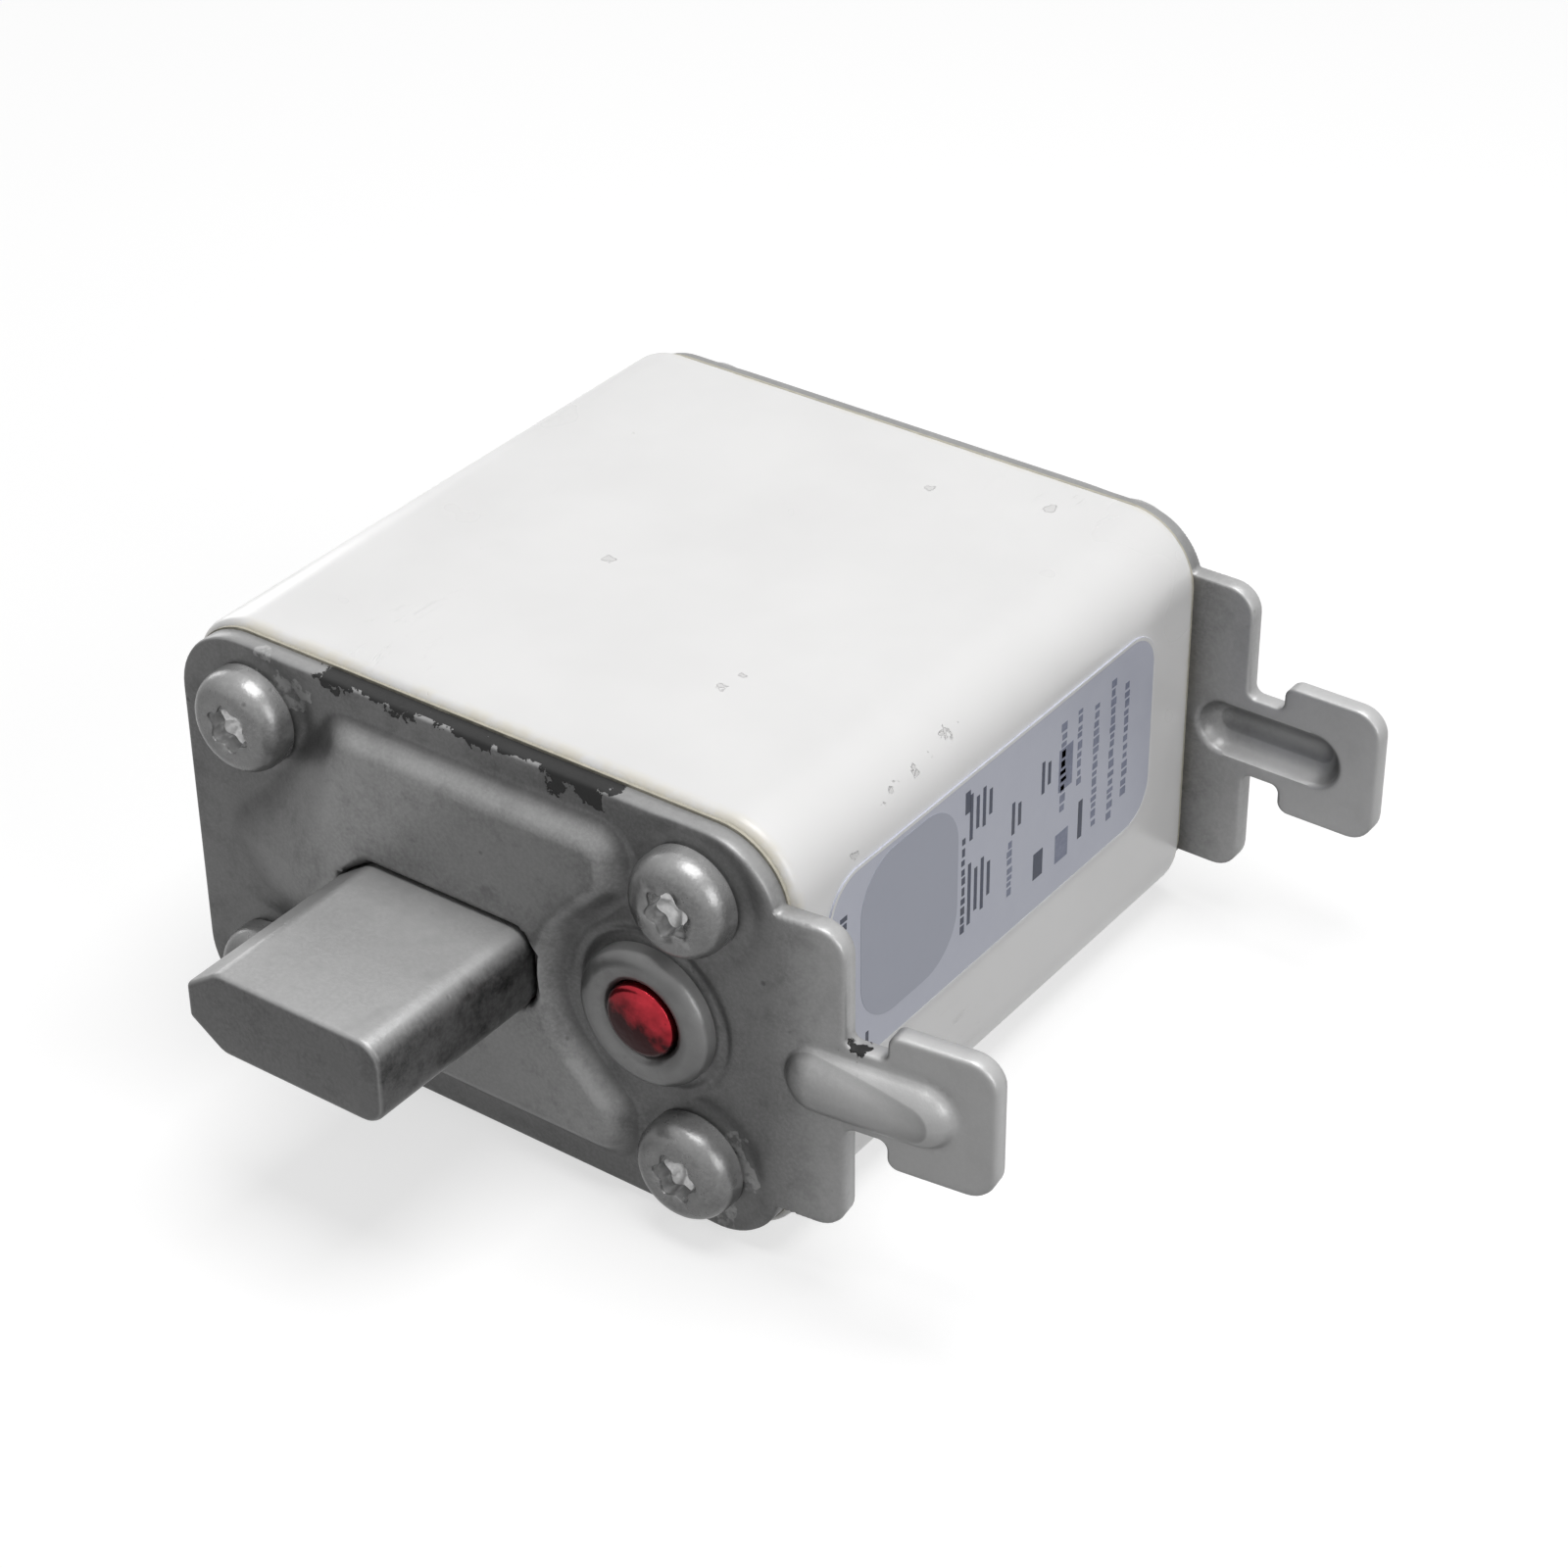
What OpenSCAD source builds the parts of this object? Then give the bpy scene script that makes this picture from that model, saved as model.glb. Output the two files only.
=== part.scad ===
// High-speed fuse: a square ceramic body with blade contacts, gripping lugs and a blown-fuse indicator.
// The fuse lies on its flat side. X points from the body to the lugs, Y runs along the fuse from the
// indicator end to the plain end, and Z is up. The origin is the middle of the face it lies on.

/* [Ceramic body] */
// Width of the body, from its plain side to its lug side
body_w = 47; // [46.5:0.5:50]
// Length of the body between its two end faces
body_l = 44.8; // [40:0.2:48]
// Height of the body as it lies
body_h = 30; // [29.5:0.5:34]
// Radius of the four long edges
corner_r = 5; // [3:0.5:6]
// Ceramic beside the chamber, at the lug side and opposite
side_wall = 4.7; // [4.4:0.1:5.2]
// Ceramic above and below the chamber
top_wall = 5; // [4.6:0.1:5.4]
// Width of the chamber between the screw bosses
core_w = 23; // [21:0.5:23.5]
// Height of the two side bays of the chamber
bay_h = 9.2; // [8.8:0.1:9.6]
// Radius of the chamber's corners
chamber_r = 2; // [1:0.5:3]
// Width of the ledge that carries each contact plate
ledge_w = 1; // [0.6:0.1:1.1]

/* [End plates] */
// Thickness of the stamped steel
plate_t = 1.4; // [1:0.1:1.5]
// How far the plate's outline stays inside the body's
plate_inset = 0.3; // [0:0.1:0.6]
// Thickness of the gasket under each end plate
gasket_t = 0.2; // [0.2:0.1:0.6]
// Distance of the screws from the body's sides
screw_side = 6.4; // [6.2:0.1:6.6]
// Distance of the screws from the body's top and bottom
screw_edge = 5.2; // [4.6:0.1:5.4]

/* [Embossed pad] */
// Height of the pad above the plate
pad_h = 1.3; // [1.1:0.1:2]
// Height of the pad's foot line across the fuse
pad_toe_h = 24.6; // [23.6:0.2:25]
// Distance of the foot line from the middle, at the indicator side
pad_right = 12.4; // [12:0.1:12.8]
// Distance of the foot line's shoulder from the middle, at the plain side
pad_left = 10.2; // [9.8:0.2:11]
// Reach of the pointed lobe at the plain side, before it is rounded
pad_lobe = 21.5; // [20:0.5:22.5]
// Radius of the hollow that the foot line leaves round the indicator
scallop_r = 6.8; // [6.4:0.1:7.2]
// Run of the pad's steep flanks
flank_run = 1.1; // [1:0.1:1.4]
// Radius of the bends at the foot and the shoulder of the pad
form_r = 0.6; // [0.4:0.1:0.7]
// Metal left in the flanks after stamping
flank_t = 1; // [0.8:0.1:1.1]

/* [Gripping lugs] */
// Reach of the side tab beyond the plate
tab_reach = 4.5; // [3.5:0.1:6]
// Height of the side tab
tab_h = 21.8; // [20:0.2:24]
// Width of the two notches behind the lug head
notch_w = 2.7; // [2:0.1:3.2]
// Radius of the notches' inner corners
notch_r = 0.6; // [0.3:0.1:0.9]
// Height of the neck between the notches
neck_h = 6; // [5.6:0.2:7]
// Length of the lug head
head_l = 7.1; // [6.5:0.1:9]
// Height of the lug head
head_h = 9.8; // [9.6:0.2:13]
// Corner radius of the tab and of the head's outer corners
lug_r = 1.9; // [1:0.1:2]
// Corner radius of the head beside the notches
claw_r = 0.8; // [0.4:0.1:1]
// Angle by which the lug at the indicator end leans towards the body
front_lean = 7; // [0:1:8]
// Angle by which the lug at the plain end leans towards the body
rear_lean = 0; // [0:1:8]
// Radius of the stiffening rib's round back
rib_r = 2.4; // [2.2:0.1:2.6]
// Height of the rib above the plate
rib_rise = 1.6; // [1.3:0.1:1.8]
// Metal left at the crest of the rib after stamping
rib_t = 1.1; // [0.9:0.1:1.2]
// Radius of the groove behind the rib
groove_r = 1.9; // [1.6:0.1:1.9]
// Distance of the rib's inner end from the plate's edge
rib_back = 0.4; // [0:0.1:1]
// Distance of the rib's outer end from the lug's end
rib_margin = 2.4; // [2:0.1:3.2]

/* [Blade contacts] */
// Length of the fuse over both blades
overall_l = 78.5; // [74:0.5:84]
// Width of the blades
blade_w = 15.4; // [15:0.1:15.6]
// Thickness of the blades
blade_t = 6; // [5:0.5:6.5]
// Distance of the blades from the middle of the body, towards the plain side
blade_offset = 2; // [1.8:0.1:2.4]
// Thickness of the blade's narrow edge
edge_t = 2.4; // [1.6:0.2:3]
// Width of the slope that leads to the narrow edge
edge_run = 2.6; // [2:0.2:3.2]
// Radius of the blade's blunt edge
blunt_r = 1.7; // [1:0.1:2.2]
// Radius where the slope meets the blade's flat
slope_r = 1.5; // [0.5:0.1:2]
// Radius of the two corners of the narrow edge
edge_r = 0.5; // [0.2:0.1:0.8]
// Step all round between the blade's contact length and its stem in the slot
stem_step = 0.1; // [0.05:0.05:0.3]
// Size of the small bevel round the blade's tip
tip_bevel = 0.4; // [0.2:0.1:0.8]
// Thickness of the contact plates that close the chamber
contact_t = 2; // [1.5:0.1:2.5]

/* [Screws] */
// Diameter of the screw heads
head_d = 7; // [6.6:0.1:7.8]
// Height of the screw heads
head_rise = 2.5; // [2.2:0.1:3]
// Height of the straight part of the screw heads
head_side = 0.9; // [0.6:0.1:1.2]
// Diameter of the flat on top of the screw heads
head_flat = 4.2; // [3.8:0.1:4.6]
// Diameter of the six-lobed recess over its lobes
recess_d = 3.3; // [2.9:0.1:3.5]
// Diameter of the recess between its lobes
recess_waist = 2.5; // [2.2:0.1:2.7]
// Depth of the six-lobed recess
recess_depth = 1.4; // [1:0.1:1.6]
// Diameter of the screw shanks
shank_d = 3.5; // [3.2:0.1:3.8]
// Length of the screw shanks under the head
shank_l = 10; // [8:0.5:12]

/* [Indicator] */
// Distance of the indicator from the middle of the body
ind_x = 13.9; // [13.8:0.1:14.2]
// Outer diameter of the housing's domed collar
collar_d = 9.6; // [9:0.1:10]
// Height of the collar above the plate
collar_rise = 1.4; // [1.1:0.1:1.8]
// Height of the rounded part of the collar
collar_round = 0.8; // [0.5:0.1:1]
// Outer diameter of the housing's barrel
barrel_d = 7.2; // [6.8:0.1:7.4]
// Depth of the barrel below the plate
barrel_l = 10; // [9:0.5:12]
// Thickness of the barrel's floor
floor_t = 1; // [0.8:0.1:1.5]
// Diameter of the red button
button_d = 5; // [4.7:0.1:5.2]
// Length of the button's head
button_l = 5.4; // [5:0.1:6]
// Height of the button's domed face
button_dome = 0.45; // [0.2:0.05:0.7]
// Travel of the button when the wire melts
travel = 3.5; // [2.5:0.1:4]
// Diameter of the button's stem
stem_d = 1.8; // [1.4:0.1:2]
// Diameter of the stop collar on the stem
stop_d = 3.2; // [2.8:0.1:3.4]
// Mean diameter of the spring
coil_d = 4; // [3.8:0.05:4.2]
// Thickness of the spring wire
spring_wire = 0.45; // [0.3:0.05:0.5]
// Number of free turns of the spring
spring_turns = 5; // [3:1:6]
// Outer diameter of the sleeve round the trip wire
sleeve_d = 5.2; // [4.8:0.1:5.6]
// Wall of the sleeve round the trip wire
sleeve_wall = 0.6; // [0.4:0.1:0.7]
// Thickness of the trip wire
trip_wire = 0.3; // [0.2:0.05:0.4]

/* [Fuse elements] */
// Width of the silver strips
element_w = 16; // [14:0.5:16.5]
// Thickness of the silver strips
element_t = 0.2; // [0.1:0.05:0.3]
// Distance of the outer strips from the chamber's wall
element_edge = 1.9; // [1.6:0.1:2.4]
// Height of the bent foot at each end of a strip
foot_h = 2.2; // [1.5:0.1:2.6]
// Distance between the rows of holes
row_pitch = 6.5; // [6:0.1:6.8]
// Diameter of the punched holes
hole_d = 2.6; // [2:0.1:3]
// Distance between the holes of a row
hole_pitch = 3.9; // [3.6:0.1:4.1]

/* [Label] */
// Length of the label
label_l = 36.7; // [30:0.1:38]
// Height of the label
label_h = 14.8; // [12:0.1:17]
// Radius of the label's corners
label_r = 3; // [1:0.1:4]
// Distance of the label's middle from the middle of the body, towards the indicator end
label_shift = 1; // [0:0.1:2]
// Height of the label's middle above that of the body
label_lift = 2.7; // [1:0.1:3.5]
// Thickness of the label
label_t = 0.12; // [0.08:0.02:0.2]

/* [Hidden] */
$fn = 64;

// Clearances between pieces
seat_gap = 0.1;
slot_gap = 0.15;
hole_gap = 0.3;
running_gap = 0.1;
sand_gap = 0.1;
stop_gap = 0.1;
wire_gap = 0.05;
turn_gap = 0.02;
// Depth that a cut runs past a face
over = 1;
// Straight pieces in each rounded corner of an outline
arc_steps = 5;
// Smallest radius that an inner corner keeps
least_r = 0.2;

// Distances outward from the middle of the fuse, the same at both ends
mid_z = body_h / 2;
end_face = body_l / 2;
plate_in = end_face + gasket_t;
plate_out = plate_in + plate_t;
pad_out = plate_out + pad_h;
pad_in = plate_in + pad_h;
blade_tip = overall_l / 2;
ledge_face = end_face - contact_t;

// The plate and its lug
plate_w = body_w - 2 * plate_inset;
plate_h = body_h - 2 * plate_inset;
plate_edge = plate_w / 2;
tab_x = plate_edge + tab_reach;
head_x = tab_x + notch_w;
lug_end = head_x + head_l;
bend_x = body_w / 2;
screw_x = body_w / 2 - screw_side;
screw_v = mid_z - screw_edge;
shank_hole_d = shank_d + 2 * slot_gap;

// The pad: its foot line and its face, as corners with a radius each
flare = 45;
toe_v = pad_toe_h / 2;
face_v = toe_v - flank_run;
face_right = pad_right - flank_run;
face_left = pad_left - flank_run;
lobe_margin = 3;
toe_waist = [5, 6.3];
face_waist = [1.9, 5.6];
face_lobe = blade_w / 2 + blade_offset + lobe_margin;
toe_bend = [pad_left + toe_waist.x, toe_v - toe_waist.y];
face_bend = [face_left + face_waist.x, face_v - face_waist.y];
toe_corner_r = 2;
face_corner_r = 1.4;
lobe_r = 3;
bend_r = 5;

// The indicator, as distances outward from the middle
ind_back = plate_out - barrel_l;
spring_seat = ind_back + floor_t;
collar_top = plate_out + collar_rise;
button_face = collar_top - button_dome / 2;
button_back = button_face - button_l;
stop_front = ind_back - travel - stop_gap;
stop_l = 1;
bore_d = button_d + 2 * running_gap;
stem_hole_d = stem_d + 2 * slot_gap;
port_d = barrel_d + 2 * hole_gap;
sleeve_bore = sleeve_d - 2 * sleeve_wall;

// The chamber and the strips in it
chamber_w = body_w - 2 * side_wall;
chamber_h = body_h - 2 * top_wall;
rows = 5;
holes = 4;
element_gap = (chamber_h - 2 * element_edge) / 3;
element_v = [1.5, 0.5, -0.5, -1.5] * element_gap;

function unit(v) = v / norm(v);

// The points of one rounded corner at b between a and c, moved outward by grow
function corner(a, b, c, r, grow, steps) =
    let (
        to_a = unit(a - b),
        to_c = unit(c - b),
        side = cross(b - a, c - b) > 0 ? 1 : -1,
        half = acos(max(-1, min(1, to_a * to_c))) / 2,
        centre = b + unit(to_a + to_c) * r / sin(half),
        first = atan2(to_a.x, -to_a.y),
        sweep = side * (180 - 2 * half),
        reach = side > 0 ? max(r + grow, least_r) : min(grow - r, -least_r)
    )
    [for (i = [0:steps]) centre + reach * [cos(first + sweep * i / steps), sin(first + sweep * i / steps)]];

// The outline through corners given as [x, y, radius], moved outward by grow
function outline(corners, grow = 0, steps = arc_steps) =
    let (n = len(corners), at = [for (c = corners) [c.x, c.y]])
    [for (i = [0:n - 1]) each corner(at[(i + n - 1) % n], at[i], at[(i + 1) % n], corners[i].z, grow, steps)];

function ring(corners, grow, height) = [for (p = outline(corners, grow)) [p.x, p.y, height]];

// Half of an outline is listed from the bottom up, and this adds its mirror image
function mirrored(half) = concat(half, [for (i = [len(half) - 1:-1:0]) [half[i].x, -half[i].y, half[i].z]]);

// The pad's outline with a hollow of radius r round the indicator, from right to left and back
function pad_corners(right, v, left, bend, lobe, hollow_r, corner_radius) =
    let (
        waist = ind_x - hollow_r / sin(flare),
        flare_v = (right - waist) * tan(flare)
    )
    [
        [right, -v, corner_radius],
        [right, -flare_v, corner_radius],
        [waist, 0, hollow_r],
        [right, flare_v, corner_radius],
        [right, v, corner_radius],
        [-left, v, corner_radius],
        [-bend.x, bend.y, bend_r],
        [-lobe, 0, lobe_r],
        [-bend.x, -bend.y, bend_r],
        [-left, -v, corner_radius]
    ];

toe = pad_corners(pad_right, toe_v, pad_left, toe_bend, pad_lobe, scallop_r, toe_corner_r);
face = pad_corners(face_right, face_v, face_left, face_bend, face_lobe, scallop_r + flank_run, face_corner_r);

// A solid through rings of points, each with the same number of points
module loft(rings) {
    n = len(rings[0]);
    last = (len(rings) - 1) * n;
    sides = [
        for (k = [0:len(rings) - 2], i = [0:n - 1])
            let (j = (i + 1) % n)
            [k * n + i, (k + 1) * n + i, (k + 1) * n + j, k * n + j]
    ];
    bottom = [for (i = [0:n - 1]) i];
    top = [for (i = [n - 1:-1:0]) last + i];
    polyhedron(points = [for (r = rings) each r], faces = concat([bottom, top], sides), convexity = 6);
}

// The pad's stamped form from level base up, its outline drawn in by inset and cut off at level low
module pad_form(base, inset, low) {
    intersection() {
        loft(concat(
            [ring(toe, form_r / 2 - inset, base - over)],
            [for (a = [-30, 30, 60])
                ring(toe, -inset - form_r * sin(a), base + sign(a) * form_r * (1 - cos(a)))],
            [for (a = [60, 30, -30])
                ring(face, form_r * sin(a) - inset, base + pad_h - sign(a) * form_r * (1 - cos(a)))]
        ));
        layer(low, base + pad_h) square(2 * lug_end, center = true);
    }
}

// Places a child drawn on the fuse's axis, with its own Z outward, at the indicator end
module front_end() {
    translate([0, 0, mid_z]) rotate([90, 0, 0]) children();
}

module rear_end() {
    mirror([0, 1, 0]) front_end() children();
}

// A flat child between two distances outward
module layer(low, high) {
    translate([0, 0, low]) linear_extrude(high - low) children();
}

module at_screws() {
    for (x = [-1, 1], y = [-1, 1]) {
        translate([x * screw_x, y * screw_v]) children();
    }
}

module slab(w, h, r) {
    square([w - 2 * r, h], center = true);
    square([w, h - 2 * r], center = true);
    for (x = [-1, 1], y = [-1, 1]) {
        translate([x * (w / 2 - r), y * (h / 2 - r)]) circle(r);
    }
}

// The chamber's outline: a core between the screw bosses and a bay at each side
module chamber(grow) {
    u = chamber_w / 2;
    c = core_w / 2;
    b = bay_h / 2;
    v = chamber_h / 2;
    r = chamber_r;
    right = [[c, -v, r], [c, -b, r], [u, -b, r]];
    left = [for (i = [2:-1:0]) [-right[i].x, right[i].y, r]];
    upper_right = [for (i = [2:-1:0]) [right[i].x, -right[i].y, r]];
    upper_left = [for (i = [2:-1:0]) [left[i].x, -left[i].y, r]];
    polygon(outline(concat(right, upper_right, upper_left, left), grow));
}

module ceramic_body() {
    color([0.95, 0.95, 0.93])
    translate([0, 0, mid_z]) rotate([90, 0, 0])
    difference() {
        layer(-end_face, end_face) slab(body_w, body_h, corner_r);
        layer(-end_face - over, end_face + over) chamber(0);
        for (s = [-1, 1]) {
            scale([1, 1, s]) {
                layer(ledge_face, end_face + over) chamber(ledge_w);
                at_screws() translate([0, 0, plate_out - shank_l - over])
                    cylinder(d = shank_hole_d, h = shank_l + 2 * over);
            }
        }
    }
}

// The outline of the plate, the side tab, the neck and the lug head
module plate_outline() {
    slab(plate_w, plate_h, corner_r);
    neck_v = neck_h / 2;
    tab_v = tab_h / 2;
    head_v = head_h / 2;
    half = [
        [0, -tab_v, lug_r],
        [tab_x, -tab_v, lug_r],
        [tab_x, -neck_v, notch_r],
        [head_x, -neck_v, notch_r],
        [head_x, -head_v, claw_r],
        [lug_end, -head_v, lug_r]
    ];
    polygon(outline(mirrored(half)));
}

// A bar with ball ends along the lug at level z, from which the rib and its groove are taken
module rib_bar(r, z) {
    first = plate_edge + rib_back + rib_r;
    last = lug_end - rib_margin - rib_r;
    translate([first, 0, z]) rotate([0, 90, 0]) cylinder(r = r, h = last - first);
    for (x = [first, last]) {
        translate([x, 0, z]) sphere(r);
    }
}

// Tilts a child about the line where the lug leaves the plate, towards the body
module leaned(lean) {
    translate([bend_x, 0, plate_out]) rotate([0, lean, 0]) translate([-bend_x, 0, -plate_out]) children();
}

// The plate and its lug as one sheet, bent along that line
module bent_sheet(lean) {
    reach = lug_end - bend_x + over;
    tip = [bend_x + reach * cos(lean), plate_out - reach * sin(lean)];
    side_view = [
        [-body_w, plate_in],
        [bend_x - plate_t * tan(lean / 2), plate_in],
        tip - plate_t * [sin(lean), cos(lean)],
        tip,
        [bend_x, plate_out],
        [-body_w, plate_out]
    ];
    intersection() {
        rotate([90, 0, 0]) linear_extrude(2 * body_h, center = true) polygon(side_view);
        layer(plate_in - reach, plate_out + over) plate_outline();
    }
}

module end_plate(has_port, lean) {
    crest = plate_out + rib_rise;
    mid_sheet = plate_out - plate_t / 2;
    difference() {
        union() {
            bent_sheet(lean);
            pad_form(plate_out, 0, mid_sheet);
            leaned(lean) intersection() {
                rib_bar(rib_r, crest - rib_r);
                layer(mid_sheet, crest + over) square(2 * lug_end + 2 * over, center = true);
            }
        }
        pad_form(plate_in, flank_t, plate_in - over / 2);
        leaned(lean) rib_bar(groove_r, crest - rib_t - groove_r);
        layer(plate_in - over, pad_out + over) blade_section(slot_gap);
        at_screws() translate([0, 0, plate_in - over]) cylinder(d = shank_hole_d, h = plate_t + 2 * over);
        if (has_port) {
            translate([ind_x, 0, plate_in - over]) cylinder(d = port_d, h = plate_t + 2 * over);
        }
    }
}

module indicator_end_plate() {
    color([0.56, 0.56, 0.55]) front_end() end_plate(true, front_lean);
}

module plain_end_plate() {
    color([0.56, 0.56, 0.55]) rear_end() end_plate(false, rear_lean);
}

module gasket(has_port) {
    difference() {
        layer(end_face, plate_in) slab(plate_w, plate_h, corner_r);
        layer(end_face - over, plate_in + over) polygon(outline(toe, -flank_t / 2));
        at_screws() translate([0, 0, end_face - over]) cylinder(d = shank_hole_d, h = gasket_t + 2 * over);
        if (has_port) {
            translate([ind_x, 0, end_face - over]) cylinder(d = port_d, h = gasket_t + 2 * over);
        }
    }
}

module front_gasket() {
    color([0.16, 0.16, 0.16]) front_end() gasket(true);
}

module rear_gasket() {
    color([0.16, 0.16, 0.16]) rear_end() gasket(false);
}

// The blade's section: a narrow edge at the plain side and a blunt edge at the other
function blade_corners() =
    let (low = -blade_offset - blade_w / 2, high = -blade_offset + blade_w / 2, v = blade_t / 2)
    mirrored([
        [low, -edge_t / 2, edge_r],
        [low + edge_run, -v, slope_r],
        [high, -v, blunt_r]
    ]);

module blade_section(grow) {
    polygon(outline(blade_corners(), grow));
}

// The blade, its stem in the slot and the broad foot that the pad of the end plate holds down
module blade() {
    foot_top = pad_in - seat_gap;
    bevel_start = blade_tip - tip_bevel;
    layer(end_face, foot_top) polygon(outline(face, -flank_t - hole_gap));
    layer(end_face, bevel_start) blade_section(-stem_step);
    layer(pad_out + seat_gap, bevel_start) blade_section(0);
    loft([
        ring(blade_corners(), 0, bevel_start - tip_bevel),
        ring(blade_corners(), 0, bevel_start),
        ring(blade_corners(), -tip_bevel, blade_tip)
    ]);
}

module front_blade() {
    color([0.74, 0.74, 0.73]) front_end() blade();
}

module rear_blade() {
    color([0.74, 0.74, 0.73]) rear_end() blade();
}

// A contact plate lies on its ledge in the mouth of the chamber
module contact_plate() {
    difference() {
        layer(ledge_face, end_face) chamber(ledge_w - slot_gap);
        translate([ind_x, 0, ledge_face - over]) cylinder(d = port_d, h = contact_t + 2 * over);
    }
}

module front_contact_plate() {
    color([0.78, 0.66, 0.56]) front_end() contact_plate();
}

module rear_contact_plate() {
    color([0.78, 0.66, 0.56]) rear_end() contact_plate();
}

// A silver strip with rows of holes that leave the narrow necks where it melts
module fuse_element(v) {
    inward = v > 0 ? -1 : 1;
    color([0.86, 0.86, 0.84])
    translate([-blade_offset, 0, mid_z + v])
    difference() {
        union() {
            cube([element_w, 2 * ledge_face, element_t], center = true);
            for (s = [-1, 1]) {
                translate([0, s * (ledge_face - element_t / 2), inward * foot_h / 2])
                    cube([element_w, element_t, foot_h], center = true);
            }
        }
        for (r = [0:rows - 1], h = [0:holes - 1]) {
            translate([(h - (holes - 1) / 2) * hole_pitch, (r - (rows - 1) / 2) * row_pitch, 0])
                cylinder(d = hole_d, h = element_t + 2 * over, center = true, $fn = 24);
        }
    }
}

module fuse_element_1() {
    fuse_element(element_v[0]);
}

module fuse_element_2() {
    fuse_element(element_v[1]);
}

module fuse_element_3() {
    fuse_element(element_v[2]);
}

module fuse_element_4() {
    fuse_element(element_v[3]);
}

// The bound sand fills the chamber round the strips and the indicator
module sand_filling() {
    sand_end = ledge_face - element_t - sand_gap;
    color([0.82, 0.76, 0.64])
    front_end()
    difference() {
        layer(-sand_end, sand_end) chamber(-sand_gap);
        for (v = element_v) {
            translate([-blade_offset, v, 0])
                cube([element_w + 2 * sand_gap, element_t + 2 * sand_gap, 2 * ledge_face], center = true);
        }
        translate([ind_x, 0, -ledge_face]) cylinder(d = sleeve_d + 2 * sand_gap, h = 2 * ledge_face);
        translate([ind_x, 0, ind_back - sand_gap]) cylinder(d = barrel_d + 2 * sand_gap, h = barrel_l);
    }
}

// A pan-head screw with a six-lobed recess
module screw() {
    lobe_d = recess_d - recess_waist;
    difference() {
        union() {
            rotate_extrude() polygon([
                [0, 0], [head_d / 2, 0], [head_d / 2, head_side],
                for (a = [15:15:75])
                    [
                        head_flat / 2 + (head_d - head_flat) / 2 * cos(a),
                        head_side + (head_rise - head_side) * sin(a)
                    ],
                [head_flat / 2, head_rise], [0, head_rise]
            ]);
            translate([0, 0, shank_d / 2 - shank_l]) cylinder(d = shank_d, h = shank_l);
            translate([0, 0, -shank_l]) cylinder(d1 = shank_d / 2, d2 = shank_d, h = shank_d / 2);
        }
        layer(head_rise - recess_depth, head_rise + over) {
            circle(d = recess_waist);
            for (a = [0:60:300]) {
                rotate(a) translate([recess_waist / 2, 0]) circle(d = lobe_d, $fn = 24);
            }
        }
    }
}

module front_screws() {
    color([0.62, 0.62, 0.61]) front_end() at_screws() translate([0, 0, plate_out]) screw();
}

module rear_screws() {
    color([0.62, 0.62, 0.61]) rear_end() at_screws() translate([0, 0, plate_out]) screw();
}

// The housing: a domed collar on the plate and a barrel with a floor behind it
module indicator_housing() {
    r = collar_d / 2;
    crown = (r - bore_d / 2) / 2;
    crown_x = bore_d / 2 + crown;
    color([0.5, 0.5, 0.5])
    front_end() translate([ind_x, 0, 0])
    rotate_extrude() polygon([
        [stem_hole_d / 2, ind_back], [barrel_d / 2, ind_back], [barrel_d / 2, plate_out], [r, plate_out],
        for (a = [0:15:180])
            [crown_x + crown * cos(a), collar_top - collar_round * (1 - sin(a))],
        [bore_d / 2, spring_seat], [stem_hole_d / 2, spring_seat]
    ]);
}

// The red button, its stem and the stop collar that ends its travel
module indicator_button() {
    r = button_d / 2;
    color([0.6, 0.05, 0.07])
    front_end() translate([ind_x, 0, 0])
    rotate_extrude() polygon([
        [0, stop_front - stop_l], [stop_d / 2, stop_front - stop_l], [stop_d / 2, stop_front],
        [stem_d / 2, stop_front], [stem_d / 2, button_back], [r, button_back],
        for (a = [0:15:75])
            [r * cos(a), button_face + button_dome * sin(a)],
        [0, button_face + button_dome]
    ]);
}

// The compressed spring: a closed turn at each end and free turns between
module indicator_spring() {
    sides = 6;
    per_turn = 14;
    total = (spring_turns + 2) * per_turn;
    wire_r = spring_wire / 2;
    low = spring_seat + wire_gap + wire_r;
    high = button_back - wire_gap - wire_r;
    closed = spring_wire + turn_gap;
    function climb(t) =
        t < 1 ? t * closed
        : t > spring_turns + 1 ? high - low - (spring_turns + 2 - t) * closed
        : closed + (t - 1) * (high - low - 2 * closed) / spring_turns;
    rings = [
        for (i = [0:total])
            let (turn = i / per_turn, a = 360 * turn)
            [
                for (s = [0:sides - 1])
                    let (b = -360 * s / sides, out = coil_d / 2 + wire_r * cos(b))
                    [out * cos(a), out * sin(a), low + climb(turn) + wire_r * sin(b)]
            ]
    ];
    color([0.7, 0.7, 0.7]) front_end() translate([ind_x, 0, 0]) loft(rings);
}

module wire_sleeve() {
    color([0.9, 0.88, 0.8])
    front_end() translate([ind_x, 0, 0])
    difference() {
        layer(-ledge_face + seat_gap, ind_back - seat_gap) circle(d = sleeve_d);
        layer(-ledge_face - over, ind_back + over) circle(d = sleeve_bore);
    }
}

// The thin wire that holds the button in until it melts
module trip_wire_strand() {
    color([0.75, 0.72, 0.65])
    front_end() translate([ind_x, 0, 0])
        layer(-end_face + hole_gap, stop_front - stop_l - hole_gap) circle(d = trip_wire, $fn = 16);
}

// The plug of the filling hole, which also anchors the trip wire
module filler_plug() {
    color([0.6, 0.6, 0.58])
    front_end() translate([ind_x, 0, 0])
    difference() {
        layer(-end_face, -ledge_face) circle(d = port_d - 2 * seat_gap);
        layer(-end_face - over, over - ledge_face) circle(d = trip_wire + 2 * wire_gap, $fn = 16);
    }
}

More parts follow.
